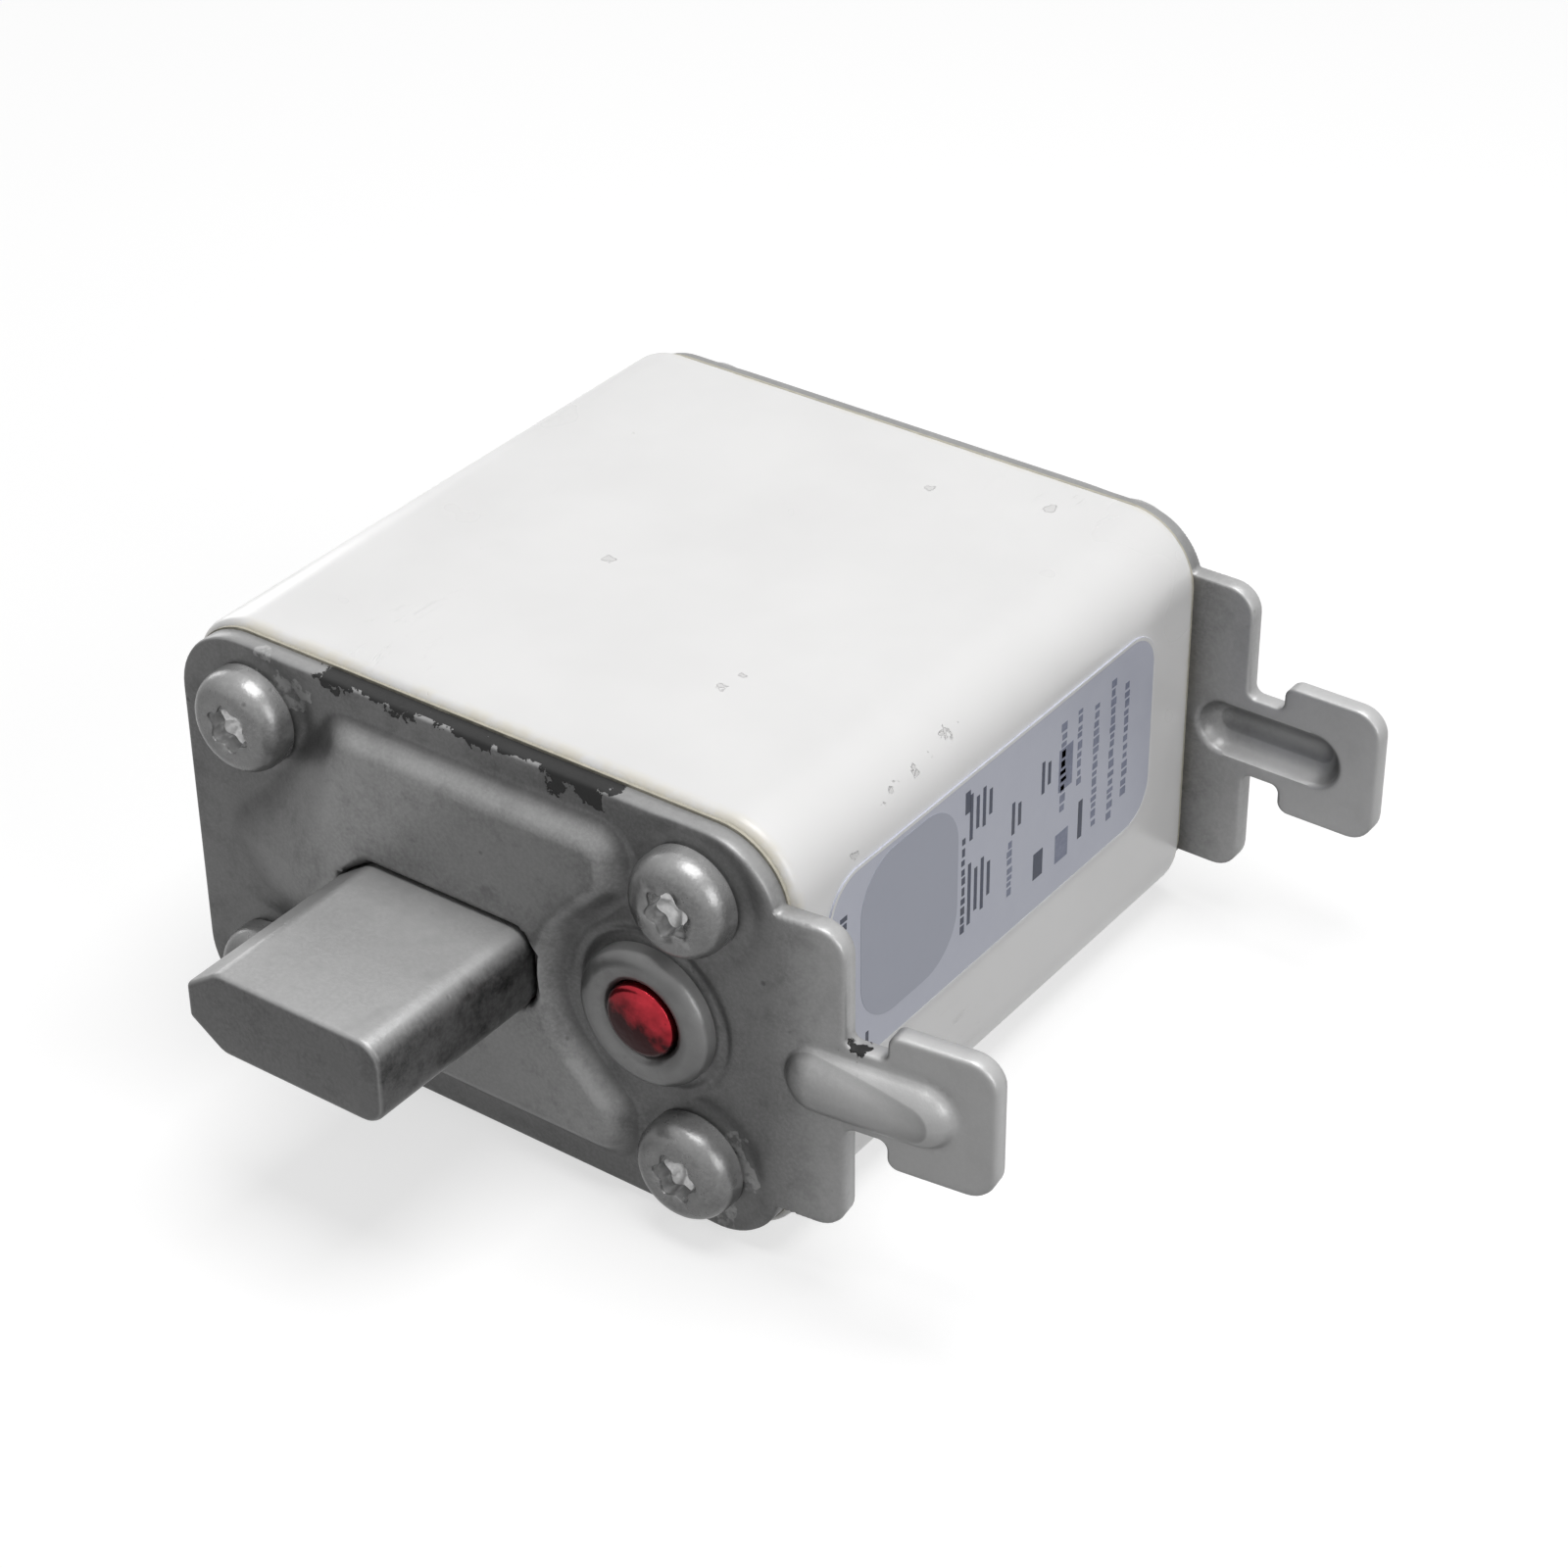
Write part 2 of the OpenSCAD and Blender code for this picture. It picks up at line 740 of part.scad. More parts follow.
module rating_label() {
    color([0.72, 0.73, 0.78])
    translate([body_w / 2, -label_shift, mid_z + label_lift])
        rotate([90, 0, 90]) linear_extrude(label_t) slab(label_l, label_h, label_r);
}

ceramic_body();
indicator_end_plate();
plain_end_plate();
front_gasket();
rear_gasket();
front_blade();
rear_blade();
front_contact_plate();
rear_contact_plate();
fuse_element_1();
fuse_element_2();
fuse_element_3();
fuse_element_4();
sand_filling();
front_screws();
rear_screws();
indicator_housing();
indicator_button();
indicator_spring();
wire_sleeve();
trip_wire_strand();
filler_plug();
rating_label();
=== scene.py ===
import math

import bpy
import numpy as np
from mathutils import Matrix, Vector, geometry


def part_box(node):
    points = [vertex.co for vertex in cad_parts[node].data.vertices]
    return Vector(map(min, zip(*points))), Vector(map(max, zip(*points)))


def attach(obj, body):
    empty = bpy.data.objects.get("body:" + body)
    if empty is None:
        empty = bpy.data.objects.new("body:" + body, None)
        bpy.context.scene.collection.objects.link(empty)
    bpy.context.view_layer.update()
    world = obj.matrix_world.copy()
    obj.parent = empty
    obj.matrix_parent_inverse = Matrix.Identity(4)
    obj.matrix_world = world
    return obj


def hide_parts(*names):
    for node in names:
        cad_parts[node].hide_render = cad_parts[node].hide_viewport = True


# %% [markdown]
# A blade-contact fuse lies on its flat side: a glazed ceramic block between two stamped steel end plates.
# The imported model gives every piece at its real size, so it is loaded first and never moved. What this script
# adds is the finish: pressed metal with soft bends, glaze with chips, plating, print and a torn gasket.

# %% Load the frame and keep its box
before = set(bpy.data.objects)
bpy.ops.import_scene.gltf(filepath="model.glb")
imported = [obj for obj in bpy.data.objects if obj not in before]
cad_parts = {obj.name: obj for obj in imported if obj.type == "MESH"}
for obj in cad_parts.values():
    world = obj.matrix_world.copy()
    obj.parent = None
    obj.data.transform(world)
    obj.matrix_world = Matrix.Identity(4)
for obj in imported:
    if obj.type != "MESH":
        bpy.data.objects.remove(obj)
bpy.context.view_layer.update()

# %% [markdown]
# All shapes are worked out in millimetres, like a workshop drawing, and scaled to metres once, when the mesh
# is made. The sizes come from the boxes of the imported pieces, so nothing here can drift from the real part.

# %% Sizes from the frame
MM = 0.001


def box_mm(node):
    low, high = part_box(node)
    return np.array(low) / MM, np.array(high) / MM


BODY_LOW, BODY_HIGH = box_mm("ceramic_body")
MID_Z = (BODY_LOW[2] + BODY_HIGH[2]) / 2
BODY_HALF_W = BODY_HIGH[0]
END_FACE = BODY_HIGH[1]
GASKET_LOW, GASKET_HIGH = box_mm("front_gasket")
PLATE_IN = -GASKET_LOW[1]
PLATE_HALF_W = GASKET_HIGH[0]
PLATE_HALF_H = GASKET_HIGH[2] - MID_Z
LUG_END = box_mm("indicator_end_plate")[1][0]
HOUSING_LOW, HOUSING_HIGH = box_mm("indicator_housing")
BUTTON_LOW, BUTTON_HIGH = box_mm("indicator_button")
TIP = -box_mm("front_blade")[0][1]
LABEL_LOW, LABEL_HIGH = box_mm("rating_label")
IND_X = (HOUSING_LOW[0] + HOUSING_HIGH[0]) / 2
PLATE_T = 1.4
PLATE_OUT = PLATE_IN + PLATE_T
print("body", BODY_HIGH - BODY_LOW, "lug end", LUG_END, "indicator at", IND_X)

# %% [markdown]
# A stamped plate is easiest to think of as a flat outline plus a height at each point, so most shapes here
# start as outlines with rounded corners. One helper turns a list of corners, each with its own radius, into
# points, and can grow or shrink the outline, as the bends of a stamping do.

# %% Outlines with rounded corners


def unit(v):
    return v / np.linalg.norm(v)


def corner_arc(a, b, c, radius, grow, steps):
    to_a, to_c = unit(a - b), unit(c - b)
    turn = (b - a)[0] * (c - b)[1] - (b - a)[1] * (c - b)[0]
    side = 1 if turn > 0 else -1
    half = math.acos(max(-1.0, min(1.0, float(to_a @ to_c)))) / 2
    centre = b + unit(to_a + to_c) * radius / math.sin(half)
    first = math.atan2(to_a[0], -to_a[1])
    sweep = side * (math.pi - 2 * half)
    reach = max(radius + grow, 0.05) if side > 0 else min(grow - radius, -0.05)
    angles = first + sweep * np.linspace(0, 1, steps + 1)
    return centre + reach * np.column_stack([np.cos(angles), np.sin(angles)])


def rounded(corners, grow=0.0, steps=10):
    at = [np.array(c[:2], float) for c in corners]
    n = len(at)
    return np.vstack([
        corner_arc(at[i - 1], at[i], at[(i + 1) % n], corners[i][2], grow, steps) for i in range(n)
    ])


sample_square = [(0, 0, 2), (10, 0, 2), (10, 10, 2), (0, 10, 2)]
print("a 10 mm square with 2 mm corners has", len(rounded(sample_square)), "points")

# %% [markdown]
# Two more tools work on outlines: one sets points along a line at an even spacing, so that triangles come out
# even, and one measures how deep a point lies inside a closed line. A modeller would use a curve and a
# boolean for this; a distance is better here, because a soft bend is a function of it.

# %% Even spacing, circles and depth inside a line


def resampled(loop, spacing):
    """The closed loop with points at an even spacing, its own corners kept."""
    out = []
    for a, b in zip(loop, np.roll(loop, -1, axis=0)):
        count = max(1, int(math.ceil(np.linalg.norm(b - a) / spacing)))
        out += [a + (b - a) * k / count for k in range(count)]
    return np.array(out)


def circle(x, y, radius, count):
    a = 2 * math.pi * np.arange(count) / count
    return np.column_stack([x + radius * np.cos(a), y + radius * np.sin(a)])


def reach_inside(points, loop):
    """How deep each point lies inside the closed loop, in millimetres; negative outside it."""
    a, b = loop, np.roll(loop, -1, axis=0)
    ab = b - a
    long2 = np.maximum((ab ** 2).sum(1), 1e-12)
    depth = np.empty(len(points))
    for start in range(0, len(points), 4000):
        p = points[start:start + 4000, None, :]
        t = np.clip(((p - a) * ab).sum(2) / long2, 0, 1)
        gap = np.linalg.norm(p - (a + t[..., None] * ab), axis=2).min(1)
        above = (a[:, 1] > p[..., 1]) != (b[:, 1] > p[..., 1])
        rise = np.where(ab[:, 1] == 0, 1e-12, ab[:, 1])
        cross = p[..., 0] < a[:, 0] + (p[..., 1] - a[:, 1]) / rise * ab[:, 0]
        inside = (above & cross).sum(1) % 2 == 1
        depth[start:start + 4000] = np.where(inside, gap, -gap)
    return depth


depth_at_middle = reach_inside(np.zeros((1, 2)), circle(0, 0, 5, 72))[0]
print("the middle of a 10 mm circle lies", round(float(depth_at_middle), 1), "mm inside it")

# %% [markdown]
# Every finished mesh goes through one function: it scales to metres, shades smooth with sharp edges kept,
# gives the material, rides the piece on its body and hides the plain node that the piece stands for.

# %% Turning points and faces into a piece of the fuse


def make_piece(name, points, faces, material, replaced, body="fuse", sharp=35):
    mesh = bpy.data.meshes.new(name)
    mesh.from_pydata((np.asarray(points) * MM).tolist(), [], [tuple(int(i) for i in f) for f in faces])
    mesh.validate()
    mesh.shade_smooth()
    mesh.set_sharp_from_angle(angle=math.radians(sharp))
    piece = bpy.data.objects.new(name, mesh)
    bpy.context.scene.collection.objects.link(piece)
    mesh.materials.append(material)
    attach(piece, body)
    if replaced:
        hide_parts(*replaced)
    print(name, len(mesh.vertices), "points")
    return piece


# %% [markdown]
# Most solid pieces are rings of points joined one after the other, as a lathe or an extruder would leave
# them. The near lug of this fuse leans toward the body by a few degrees, and the far one stands straight, so
# each end has its own way from the drawing to the world.

# %% Rings, and the two ends of the fuse


def loft_faces(count, rings, closed_ends=True, first=0):
    """Faces through rings that each have count points; the rings run so that the faces look outward."""
    faces = []
    for k in range(rings - 1):
        for i in range(count):
            j = (i + 1) % count
            low, high = first + k * count, first + (k + 1) * count
            faces.append((low + i, low + j, high + j, high + i))
    if closed_ends:
        faces.append(tuple(first + i for i in reversed(range(count))))
        faces.append(tuple(first + (rings - 1) * count + i for i in range(count)))
    return faces


LEAN = math.radians(7)


def front_to_world(points):
    """From (x, height over the middle, distance outward) at the indicator end, its lug leaning in."""
    x, v, out = np.asarray(points, float).T
    past, level = x - BODY_HALF_W, out - PLATE_OUT
    on_lug = past > 0
    leaned_x = BODY_HALF_W + past * math.cos(LEAN) + level * math.sin(LEAN)
    leaned_out = PLATE_OUT - past * math.sin(LEAN) + level * math.cos(LEAN)
    return np.column_stack([np.where(on_lug, leaned_x, x), -np.where(on_lug, leaned_out, out), MID_Z + v])


def rear_to_world(points):
    """The same at the plain end, whose lug stands straight."""
    x, v, out = np.asarray(points, float).T
    return np.column_stack([x, out, MID_Z + v])


print("the near lug leans in by", round(math.degrees(LEAN)), "degrees")

# %% [markdown]
# Materials are built from a few node helpers. Object coordinates are in metres and every piece sits at the
# origin, so a pattern's size is given in millimetres and turned into a scale. Patterns only mix colours,
# roughness and bump; the plain constants are set on the shader itself.

# %% Coordinates and noise


def new_material(name):
    mat = bpy.data.materials.new(name)
    mat.use_nodes = True
    nt = mat.node_tree
    return mat, nt, nt.nodes["Principled BSDF"]


def link(nt, out, into):
    nt.links.new(out, into)


def place(nt):
    node = nt.nodes.new("ShaderNodeTexCoord")
    return node.outputs["Object"]


def stretched(nt, source, factors):
    node = nt.nodes.new("ShaderNodeMapping")
    link(nt, source, node.inputs["Vector"])
    node.inputs["Scale"].default_value = factors
    return node.outputs["Vector"]


def grain(nt, source, size_mm, detail=4.0, rough=0.5, distortion=0.0):
    node = nt.nodes.new("ShaderNodeTexNoise")
    link(nt, source, node.inputs["Vector"])
    node.inputs["Scale"].default_value = 1.0 / (size_mm * MM)
    node.inputs["Detail"].default_value = detail
    node.inputs["Roughness"].default_value = rough
    node.inputs["Distortion"].default_value = distortion
    return node.outputs["Fac"]


def cells(nt, source, size_mm):
    """The distance to the nearest of many scattered points: round spots when it is small."""
    node = nt.nodes.new("ShaderNodeTexVoronoi")
    link(nt, source, node.inputs["Vector"])
    node.inputs["Scale"].default_value = 1.0 / (size_mm * MM)
    return node.outputs["Distance"]


print("noise helpers ready")

# %% [markdown]
# Patterns become useful when they are stretched to a range, mixed and compared, as masks are in a paint
# program. These four do that for values and for colours.

# %% Mixing values and colours


def spread(nt, source, low, high, to_low=0.0, to_high=1.0):
    node = nt.nodes.new("ShaderNodeMapRange")
    link(nt, source, node.inputs["Value"])
    for key, value in zip(("From Min", "From Max", "To Min", "To Max"), (low, high, to_low, to_high)):
        node.inputs[key].default_value = value
    return node.outputs["Result"]


def blend(nt, amount, first, second):
    """Mixes two colours, each a value or a socket, by an amount that is a value or a socket."""
    node = nt.nodes.new("ShaderNodeMix")
    node.data_type = "RGBA"
    for socket, value in ((node.inputs[0], amount), (node.inputs[6], first), (node.inputs[7], second)):
        if isinstance(value, bpy.types.NodeSocket):
            link(nt, value, socket)
        else:
            socket.default_value = value
    return node.outputs[2]


def combine(nt, kind, first, second):
    node = nt.nodes.new("ShaderNodeMath")
    node.operation = kind
    for socket, value in zip(node.inputs, (first, second)):
        if isinstance(value, bpy.types.NodeSocket):
            link(nt, value, socket)
        else:
            socket.default_value = value
    return node.outputs[0]


def axis_of(nt, source, axis):
    node = nt.nodes.new("ShaderNodeSeparateXYZ")
    link(nt, source, node.inputs[0])
    return node.outputs[axis]


print("mixing helpers ready")

# %% [markdown]
# Wear isn't the same everywhere: it follows edges and single blows, while painted light and shade follow the
# way a surface faces. Spots and knocks are placed where the photo shows them, with a ragged outline from the
# noise.

# %% Masks, wear and bumps


def edge_wear(nt):
    """High where the surface bends outward, as on a rubbed edge."""
    return nt.nodes.new("ShaderNodeNewGeometry").outputs["Pointiness"]


def facing(nt, axis):
    """How far the surface faces along an axis, from -1 to 1."""
    return axis_of(nt, nt.nodes.new("ShaderNodeNewGeometry").outputs["Normal"], axis)


def spot(nt, at, ragged, x_mm, z_mm, radius_mm, ragged_mm=0.6):
    """A round patch in the x-z plane with a torn outline."""
    dx = combine(nt, "SUBTRACT", axis_of(nt, at, "X"), x_mm * MM)
    dz = combine(nt, "SUBTRACT", axis_of(nt, at, "Z"), z_mm * MM)
    squares = [combine(nt, "MULTIPLY", d, d) for d in (dx, dz)]
    away = combine(nt, "SQRT", combine(nt, "ADD", *squares), 0)
    torn = combine(nt, "ADD", away, spread(nt, ragged, 0.3, 0.7, -ragged_mm * MM, ragged_mm * MM))
    return spread(nt, torn, (radius_mm + 0.06) * MM, (radius_mm - 0.06) * MM)


def knock(nt, at, ragged, x_mm, y_mm, z_mm, radius_mm):
    """A small ragged ball-shaped patch, such as a chip in the glaze."""
    node = nt.nodes.new("ShaderNodeVectorMath")
    node.operation = "DISTANCE"
    link(nt, at, node.inputs[0])
    node.inputs[1].default_value = (x_mm * MM, y_mm * MM, z_mm * MM)
    torn = combine(nt, "ADD", node.outputs["Value"], spread(nt, ragged, 0.3, 0.7, -0.4 * MM, 0.4 * MM))
    return spread(nt, torn, (radius_mm + 0.05) * MM, (radius_mm - 0.05) * MM)


def union(nt, masks):
    """Where any of the masks is."""
    total = masks[0]
    for mask in masks[1:]:
        total = combine(nt, "MAXIMUM", total, mask)
    return total


def bumps(nt, bsdf, layers):
    """Stacks bumps: each layer is (height socket, depth in millimetres)."""
    last = None
    for height, depth_mm in layers:
        node = nt.nodes.new("ShaderNodeBump")
        node.inputs["Distance"].default_value = depth_mm * MM
        node.inputs["Strength"].default_value = 1.0
        link(nt, height, node.inputs["Height"])
        if last is not None:
            link(nt, last, node.inputs["Normal"])
        last = node.outputs["Normal"]
    link(nt, last, bsdf.inputs["Normal"])


def grey(level, warm=0.0):
    return (level + warm, level, level - warm, 1.0)


print("mask helpers ready")

# %% [markdown]
# The ceramic is glazed steatite: nearly white, smooth and glossy, with a faint uneven sheen. Use has left
# small dark pits, a few scuffed patches and a yellow tinge where the glaze thins out at the ends.

# %% Glazed ceramic
# Where the glaze is knocked: x, y and z, and the radius, in millimetres.
KNOCKS = [
    (14.6, 18.4, 30, 0.32), (6.6, 16.3, 30, 0.25), (-4.9, -3.2, 30, 0.3), (10.4, -9.5, 30, 0.3),
    (9.9, -11.3, 30, 0.22), (23.2, -13.1, 27.4, 0.35), (23.1, -11.4, 27.9, 0.4), (23.0, -9.0, 28.0, 0.45),
    (22.9, -7.6, 28.2, 0.3), (22.8, -5.5, 28.3, 0.45), (22.7, -4.2, 28.4, 0.3), (23.4, -16.4, 26.0, 0.25),
]


def glazed_ceramic():
    mat, nt, bsdf = new_material("glazed_ceramic")
    at = place(nt)
    clouds = grain(nt, at, 14, 3, 0.55)
    tone = blend(nt, spread(nt, clouds, 0.35, 0.65), grey(0.83, 0.004), grey(0.87, 0.004))
    y = axis_of(nt, at, "Y")
    end = spread(nt, combine(nt, "ABSOLUTE", y, 0.0), (END_FACE - 1.0) * MM, (END_FACE - 0.1) * MM)
    ragged = combine(nt, "MULTIPLY", end, spread(nt, grain(nt, at, 3.0, 5, 0.6), 0.42, 0.6))
    tinged = blend(nt, combine(nt, "MULTIPLY", ragged, 0.5), tone, (0.76, 0.69, 0.50, 1))
    pits = spread(nt, cells(nt, at, 5.5), 0.035, 0.012)
    rare = spread(nt, grain(nt, at, 9.0, 2), 0.55, 0.62)
    pitted = combine(nt, "MULTIPLY", pits, rare)
    fine = grain(nt, at, 0.8, 4, 0.6)
    knocks = union(nt, [knock(nt, at, fine, *each) for each in KNOCKS])
    damaged = combine(nt, "MULTIPLY", union(nt, [pitted, knocks]), 0.28)
    colour = blend(nt, damaged, tinged, grey(0.42, 0.01))
    scuff = spread(nt, grain(nt, stretched(nt, at, (1.0, 0.35, 1.0)), 1.6, 6, 0.7, 1.2), 0.60, 0.68)
    patch = spread(nt, grain(nt, at, 17.0, 2), 0.56, 0.66)
    scuffed = combine(nt, "MULTIPLY", scuff, patch)
    colour = blend(nt, combine(nt, "MULTIPLY", scuffed, 0.16), colour, grey(0.5))
    link(nt, colour, bsdf.inputs["Base Color"])
    glossy = spread(nt, clouds, 0.3, 0.7, 0.26, 0.36)
    link(nt, combine(nt, "ADD", glossy, combine(nt, "MULTIPLY", scuffed, 0.3)), bsdf.inputs["Roughness"])
    bsdf.inputs["Coat Weight"].default_value = 0.25
    bsdf.inputs["Coat Roughness"].default_value = 0.2
    bumps(nt, bsdf, [
        (grain(nt, at, 7.0, 2), 0.05),
        (spread(nt, pitted, 1.0, 0.0), 0.06),
        (spread(nt, knocks, 1.0, 0.0), 0.08),
        (spread(nt, scuffed, 1.0, 0.0), 0.02),
    ])
    return mat


CERAMIC = glazed_ceramic()
print("glaze ready")

# %% [markdown]
# The bare metals have gone matt and stained: soft clouds, fine grain and small dark specks. Painted shade
# darkens what faces down or to the plain side and the low parts of the plates, and painted light brightens what
# faces up and the lugs. The near plate also keeps the dark residue of an old gasket along its top edge, and
# pale flakes beside two screws.

# %% Marks on the near plate
SCREW_SIDE, SCREW_EDGE = 6.4, 5.2
SCREW_CX, SCREW_CV = BODY_HALF_W - SCREW_SIDE, MID_Z - SCREW_EDGE
RESIDUE_REACH, RESIDUE_FADE = 12.5, 2.5
# Each spot is x, height over the middle, and radius, in millimetres.
DARK_SPOTS = [(7.3, 13.9, 0.9), (9.5, 14.3, 1.0), (-10.4, 14.7, 0.7), (-4.6, 14.6, 0.7), (28.4, 3.2, 0.4)]
PALE_SPOTS = [(-14.6, 12.6, 1.6), (20.4, -9.2, 1.5), (19.6, -12.6, 1.3)]


def residue(nt, at):
    """The dark band along the plate's top edge, which thins out toward its ends, and the blobs on it."""
    fine, coarse = grain(nt, at, 0.9, 4, 0.6), grain(nt, at, 2.6, 3, 0.55)
    aside = combine(nt, "ABSOLUTE", axis_of(nt, at, "X"), 0.0)
    across = spread(nt, aside, RESIDUE_REACH * MM, (RESIDUE_REACH - RESIDUE_FADE) * MM)
    below = combine(nt, "SUBTRACT", (MID_Z + PLATE_HALF_H) * MM, axis_of(nt, at, "Z"))
    width = spread(nt, combine(nt, "MULTIPLY", coarse, fine), 0.20, 0.36, 0.1 * MM, 0.9 * MM)
    width = combine(nt, "MULTIPLY", width, across)
    band = combine(nt, "GREATER_THAN", combine(nt, "SUBTRACT", width, below), 0)
    blobs = [spot(nt, at, fine, x_mm, MID_Z + v, r, 0.9) for x_mm, v, r in DARK_SPOTS]
    return combine(nt, "MULTIPLY", union(nt, [band] + blobs), spread(nt, grain(nt, at, 0.45, 2), 0.22, 0.26))


def flakes(nt, at):
    """The pale flakes beside two screws."""
    fine, coarse = grain(nt, at, 0.9, 4, 0.6), grain(nt, at, 2.6, 3, 0.55)
    pale = union(nt, [spot(nt, at, coarse, x_mm, MID_Z + v, r, 1.6) for x_mm, v, r in PALE_SPOTS])
    return combine(nt, "MULTIPLY", pale, spread(nt, fine, 0.45, 0.55))


print(len(DARK_SPOTS), "dark spots and", len(PALE_SPOTS), "pale ones")

# %% [markdown]
# Shade and light are painted into the metal by where it lies: the sheet gets painted shade in its low parts and
# painted light on its lug while the pad stays light, a dark line of painted shade runs along the pad's foot,
# and the blades get patchy painted shade on their side toward the indicator and on their tips.

# %% Painted shade and light on metal
# Where the painted shade on the sheet's low parts fades out along the lug, and where the painted light on the
# lug begins and is full, in millimetres.
LUG_SHADE_FADE_START, LUG_SHADE_GONE = 22.5, 26.2
LUG_BRIGHT_START, LUG_BRIGHT = 24.0, 29.5


def painted_sheet_shading(nt, at, tone, low_shade):
    """Painted shade on a sheet's low parts and along the foot line of its forms, and painted light on its lug.
    """
    x = axis_of(nt, at, "X")
    out = combine(nt, "ABSOLUTE", axis_of(nt, at, "Y"), 0.0)
    raised = spread(nt, out, (PLATE_OUT + 0.05) * MM, (PLATE_OUT + 1.2) * MM)
    # The raised pad and the lug are spared the painted shade that darkens the low parts.
    brightened = combine(nt, "MAXIMUM", raised, spread(nt, x, LUG_SHADE_FADE_START * MM, LUG_SHADE_GONE * MM))
    tone = blend(nt, spread(nt, brightened, 0.0, 1.0, low_shade, 0.0), tone, grey(0.0))
    # Painted light on the lug.
    tone = blend(nt, spread(nt, x, LUG_BRIGHT_START * MM, LUG_BRIGHT * MM, 0.0, 0.75), tone, grey(0.55))
    # A dark line of painted shade along the foot of each raised form.
    above_foot = spread(nt, out, (PLATE_OUT + 0.01) * MM, (PLATE_OUT + 0.08) * MM)
    below_flank = spread(nt, out, (PLATE_OUT + 0.5) * MM, (PLATE_OUT + 0.15) * MM)
    foot = combine(nt, "MULTIPLY", above_foot, below_flank)
    return blend(nt, combine(nt, "MULTIPLY", foot, 0.35), tone, grey(0.03))


def painted_facing_shading(nt, tone):
    """Painted shade where the metal faces down or to the plain side, and painted light where it faces up."""
    up, aside = facing(nt, "Z"), facing(nt, "X")
    tone = blend(nt, spread(nt, up, 0.0, -0.8, 0.0, 0.45), tone, grey(0.02))
    tone = blend(nt, spread(nt, aside, 0.0, -0.6, 0.0, 0.7), tone, grey(0.02))
    return blend(nt, spread(nt, up, 0.25, 0.8, 0.0, 0.22), tone, grey(0.8))


def painted_blade_shade(nt, tone, stains):
    """Patchy painted shade on the side toward the indicator and on the tip."""
    side = spread(nt, facing(nt, "X"), 0.5, 0.95)
    tip = spread(nt, combine(nt, "ABSOLUTE", facing(nt, "Y"), 0.0), 0.75, 0.98, 0.0, 0.7)
    patchy = spread(nt, stains, 0.30, 0.62, 1.0, 0.6)
    side_and_tip_shade = combine(nt, "MULTIPLY", combine(nt, "MAXIMUM", side, tip), patchy)
    return blend(nt, side_and_tip_shade, tone, grey(0.01))


print("the lug is rubbed bright from x =", LUG_BRIGHT_START, "mm")

# %% [markdown]
# One function then makes every bare metal, from how dark and light it is, how rough, how speckled and how
# metallic. Only a part of the light is mirrored: the rest is scattered, as by a matt, slightly dirty skin.

# %% The bare metals


def matt_metal(name, dark, light, rough_low, rough_high, speck, metallic, rub=0.12, grain_mm=0.25,
               low_shade=0.0, shade_blade_sides=False, marked=False):
    mat, nt, bsdf = new_material(name)
    at = place(nt)
    clouds, fine = grain(nt, at, 7.0, 5, 0.6), grain(nt, at, grain_mm, 3, 0.6)
    stains = grain(nt, at, 2.4, 5, 0.7)
    tone = blend(nt, spread(nt, clouds, 0.36, 0.64), grey(dark), grey(light))
    tone = blend(nt, spread(nt, fine, 0.40, 0.66, 0.0, 0.4), tone, grey(light * 1.3))
    tone = blend(nt, spread(nt, stains, 0.50, 0.66, 0.0, 0.35), tone, grey(dark * 0.45))
    rare = spread(nt, grain(nt, at, 5.0, 3), 0.50, 0.60)
    specks = combine(nt, "MULTIPLY", spread(nt, cells(nt, at, 1.9), 0.11, 0.04), rare)
    tone = blend(nt, combine(nt, "MULTIPLY", specks, speck), tone, grey(dark * 0.35))
    tone = blend(nt, spread(nt, edge_wear(nt), 0.52, 0.62, 0.0, rub), tone, grey(min(1.0, light * 1.6)))
    # Painted shade on the low parts and foot lines of a sheet, and painted light on its lug.
    if low_shade:
        tone = painted_sheet_shading(nt, at, tone, low_shade)
    # Painted shade on faces that look down or to the plain side, painted light on faces that look up.
    tone = painted_facing_shading(nt, tone)
    # Patchy painted shade on the blade's side toward the indicator and on its tip.
    if shade_blade_sides:
        tone = painted_blade_shade(nt, tone, stains)
    rough = spread(nt, stains, 0.3, 0.7, rough_low, rough_high)
    bsdf.inputs["Specular IOR Level"].default_value = 0.35
    scratch = grain(nt, stretched(nt, at, (0.12, 1.0, 1.0)), 0.35, 3, 0.7)
    layers = [(clouds, 0.05), (fine, 0.012), (stains, 0.03), (scratch, 0.004)]
    layers.append((spread(nt, specks, 1.0, 0.0), 0.03))
    if marked:
        torn = residue(nt, at)
        tone = blend(nt, combine(nt, "MULTIPLY", flakes(nt, at), 0.4), tone, grey(0.7))
        tone = blend(nt, torn, tone, grey(0.012))
        rough = combine(nt, "ADD", rough, combine(nt, "MULTIPLY", torn, 0.2))
        link(nt, spread(nt, torn, 0.0, 1.0, metallic, 0.0), bsdf.inputs["Metallic"])
        layers.append((spread(nt, torn, 0.0, 1.0), 0.12))
    else:
        bsdf.inputs["Metallic"].default_value = metallic
    link(nt, tone, bsdf.inputs["Base Color"])
    link(nt, rough, bsdf.inputs["Roughness"])
    bumps(nt, bsdf, layers)
    return mat


SHEET = {
    "dark": 0.28, "light": 0.36, "rough_low": 0.34, "rough_high": 0.44, "speck": 0.7,
    "metallic": 0.3, "rub": 0.3, "low_shade": 0.42,
}
PLATE_STEEL = matt_metal("matt_plate_steel", **SHEET)
MARKED_STEEL = matt_metal("marked_plate_steel", **SHEET, marked=True)
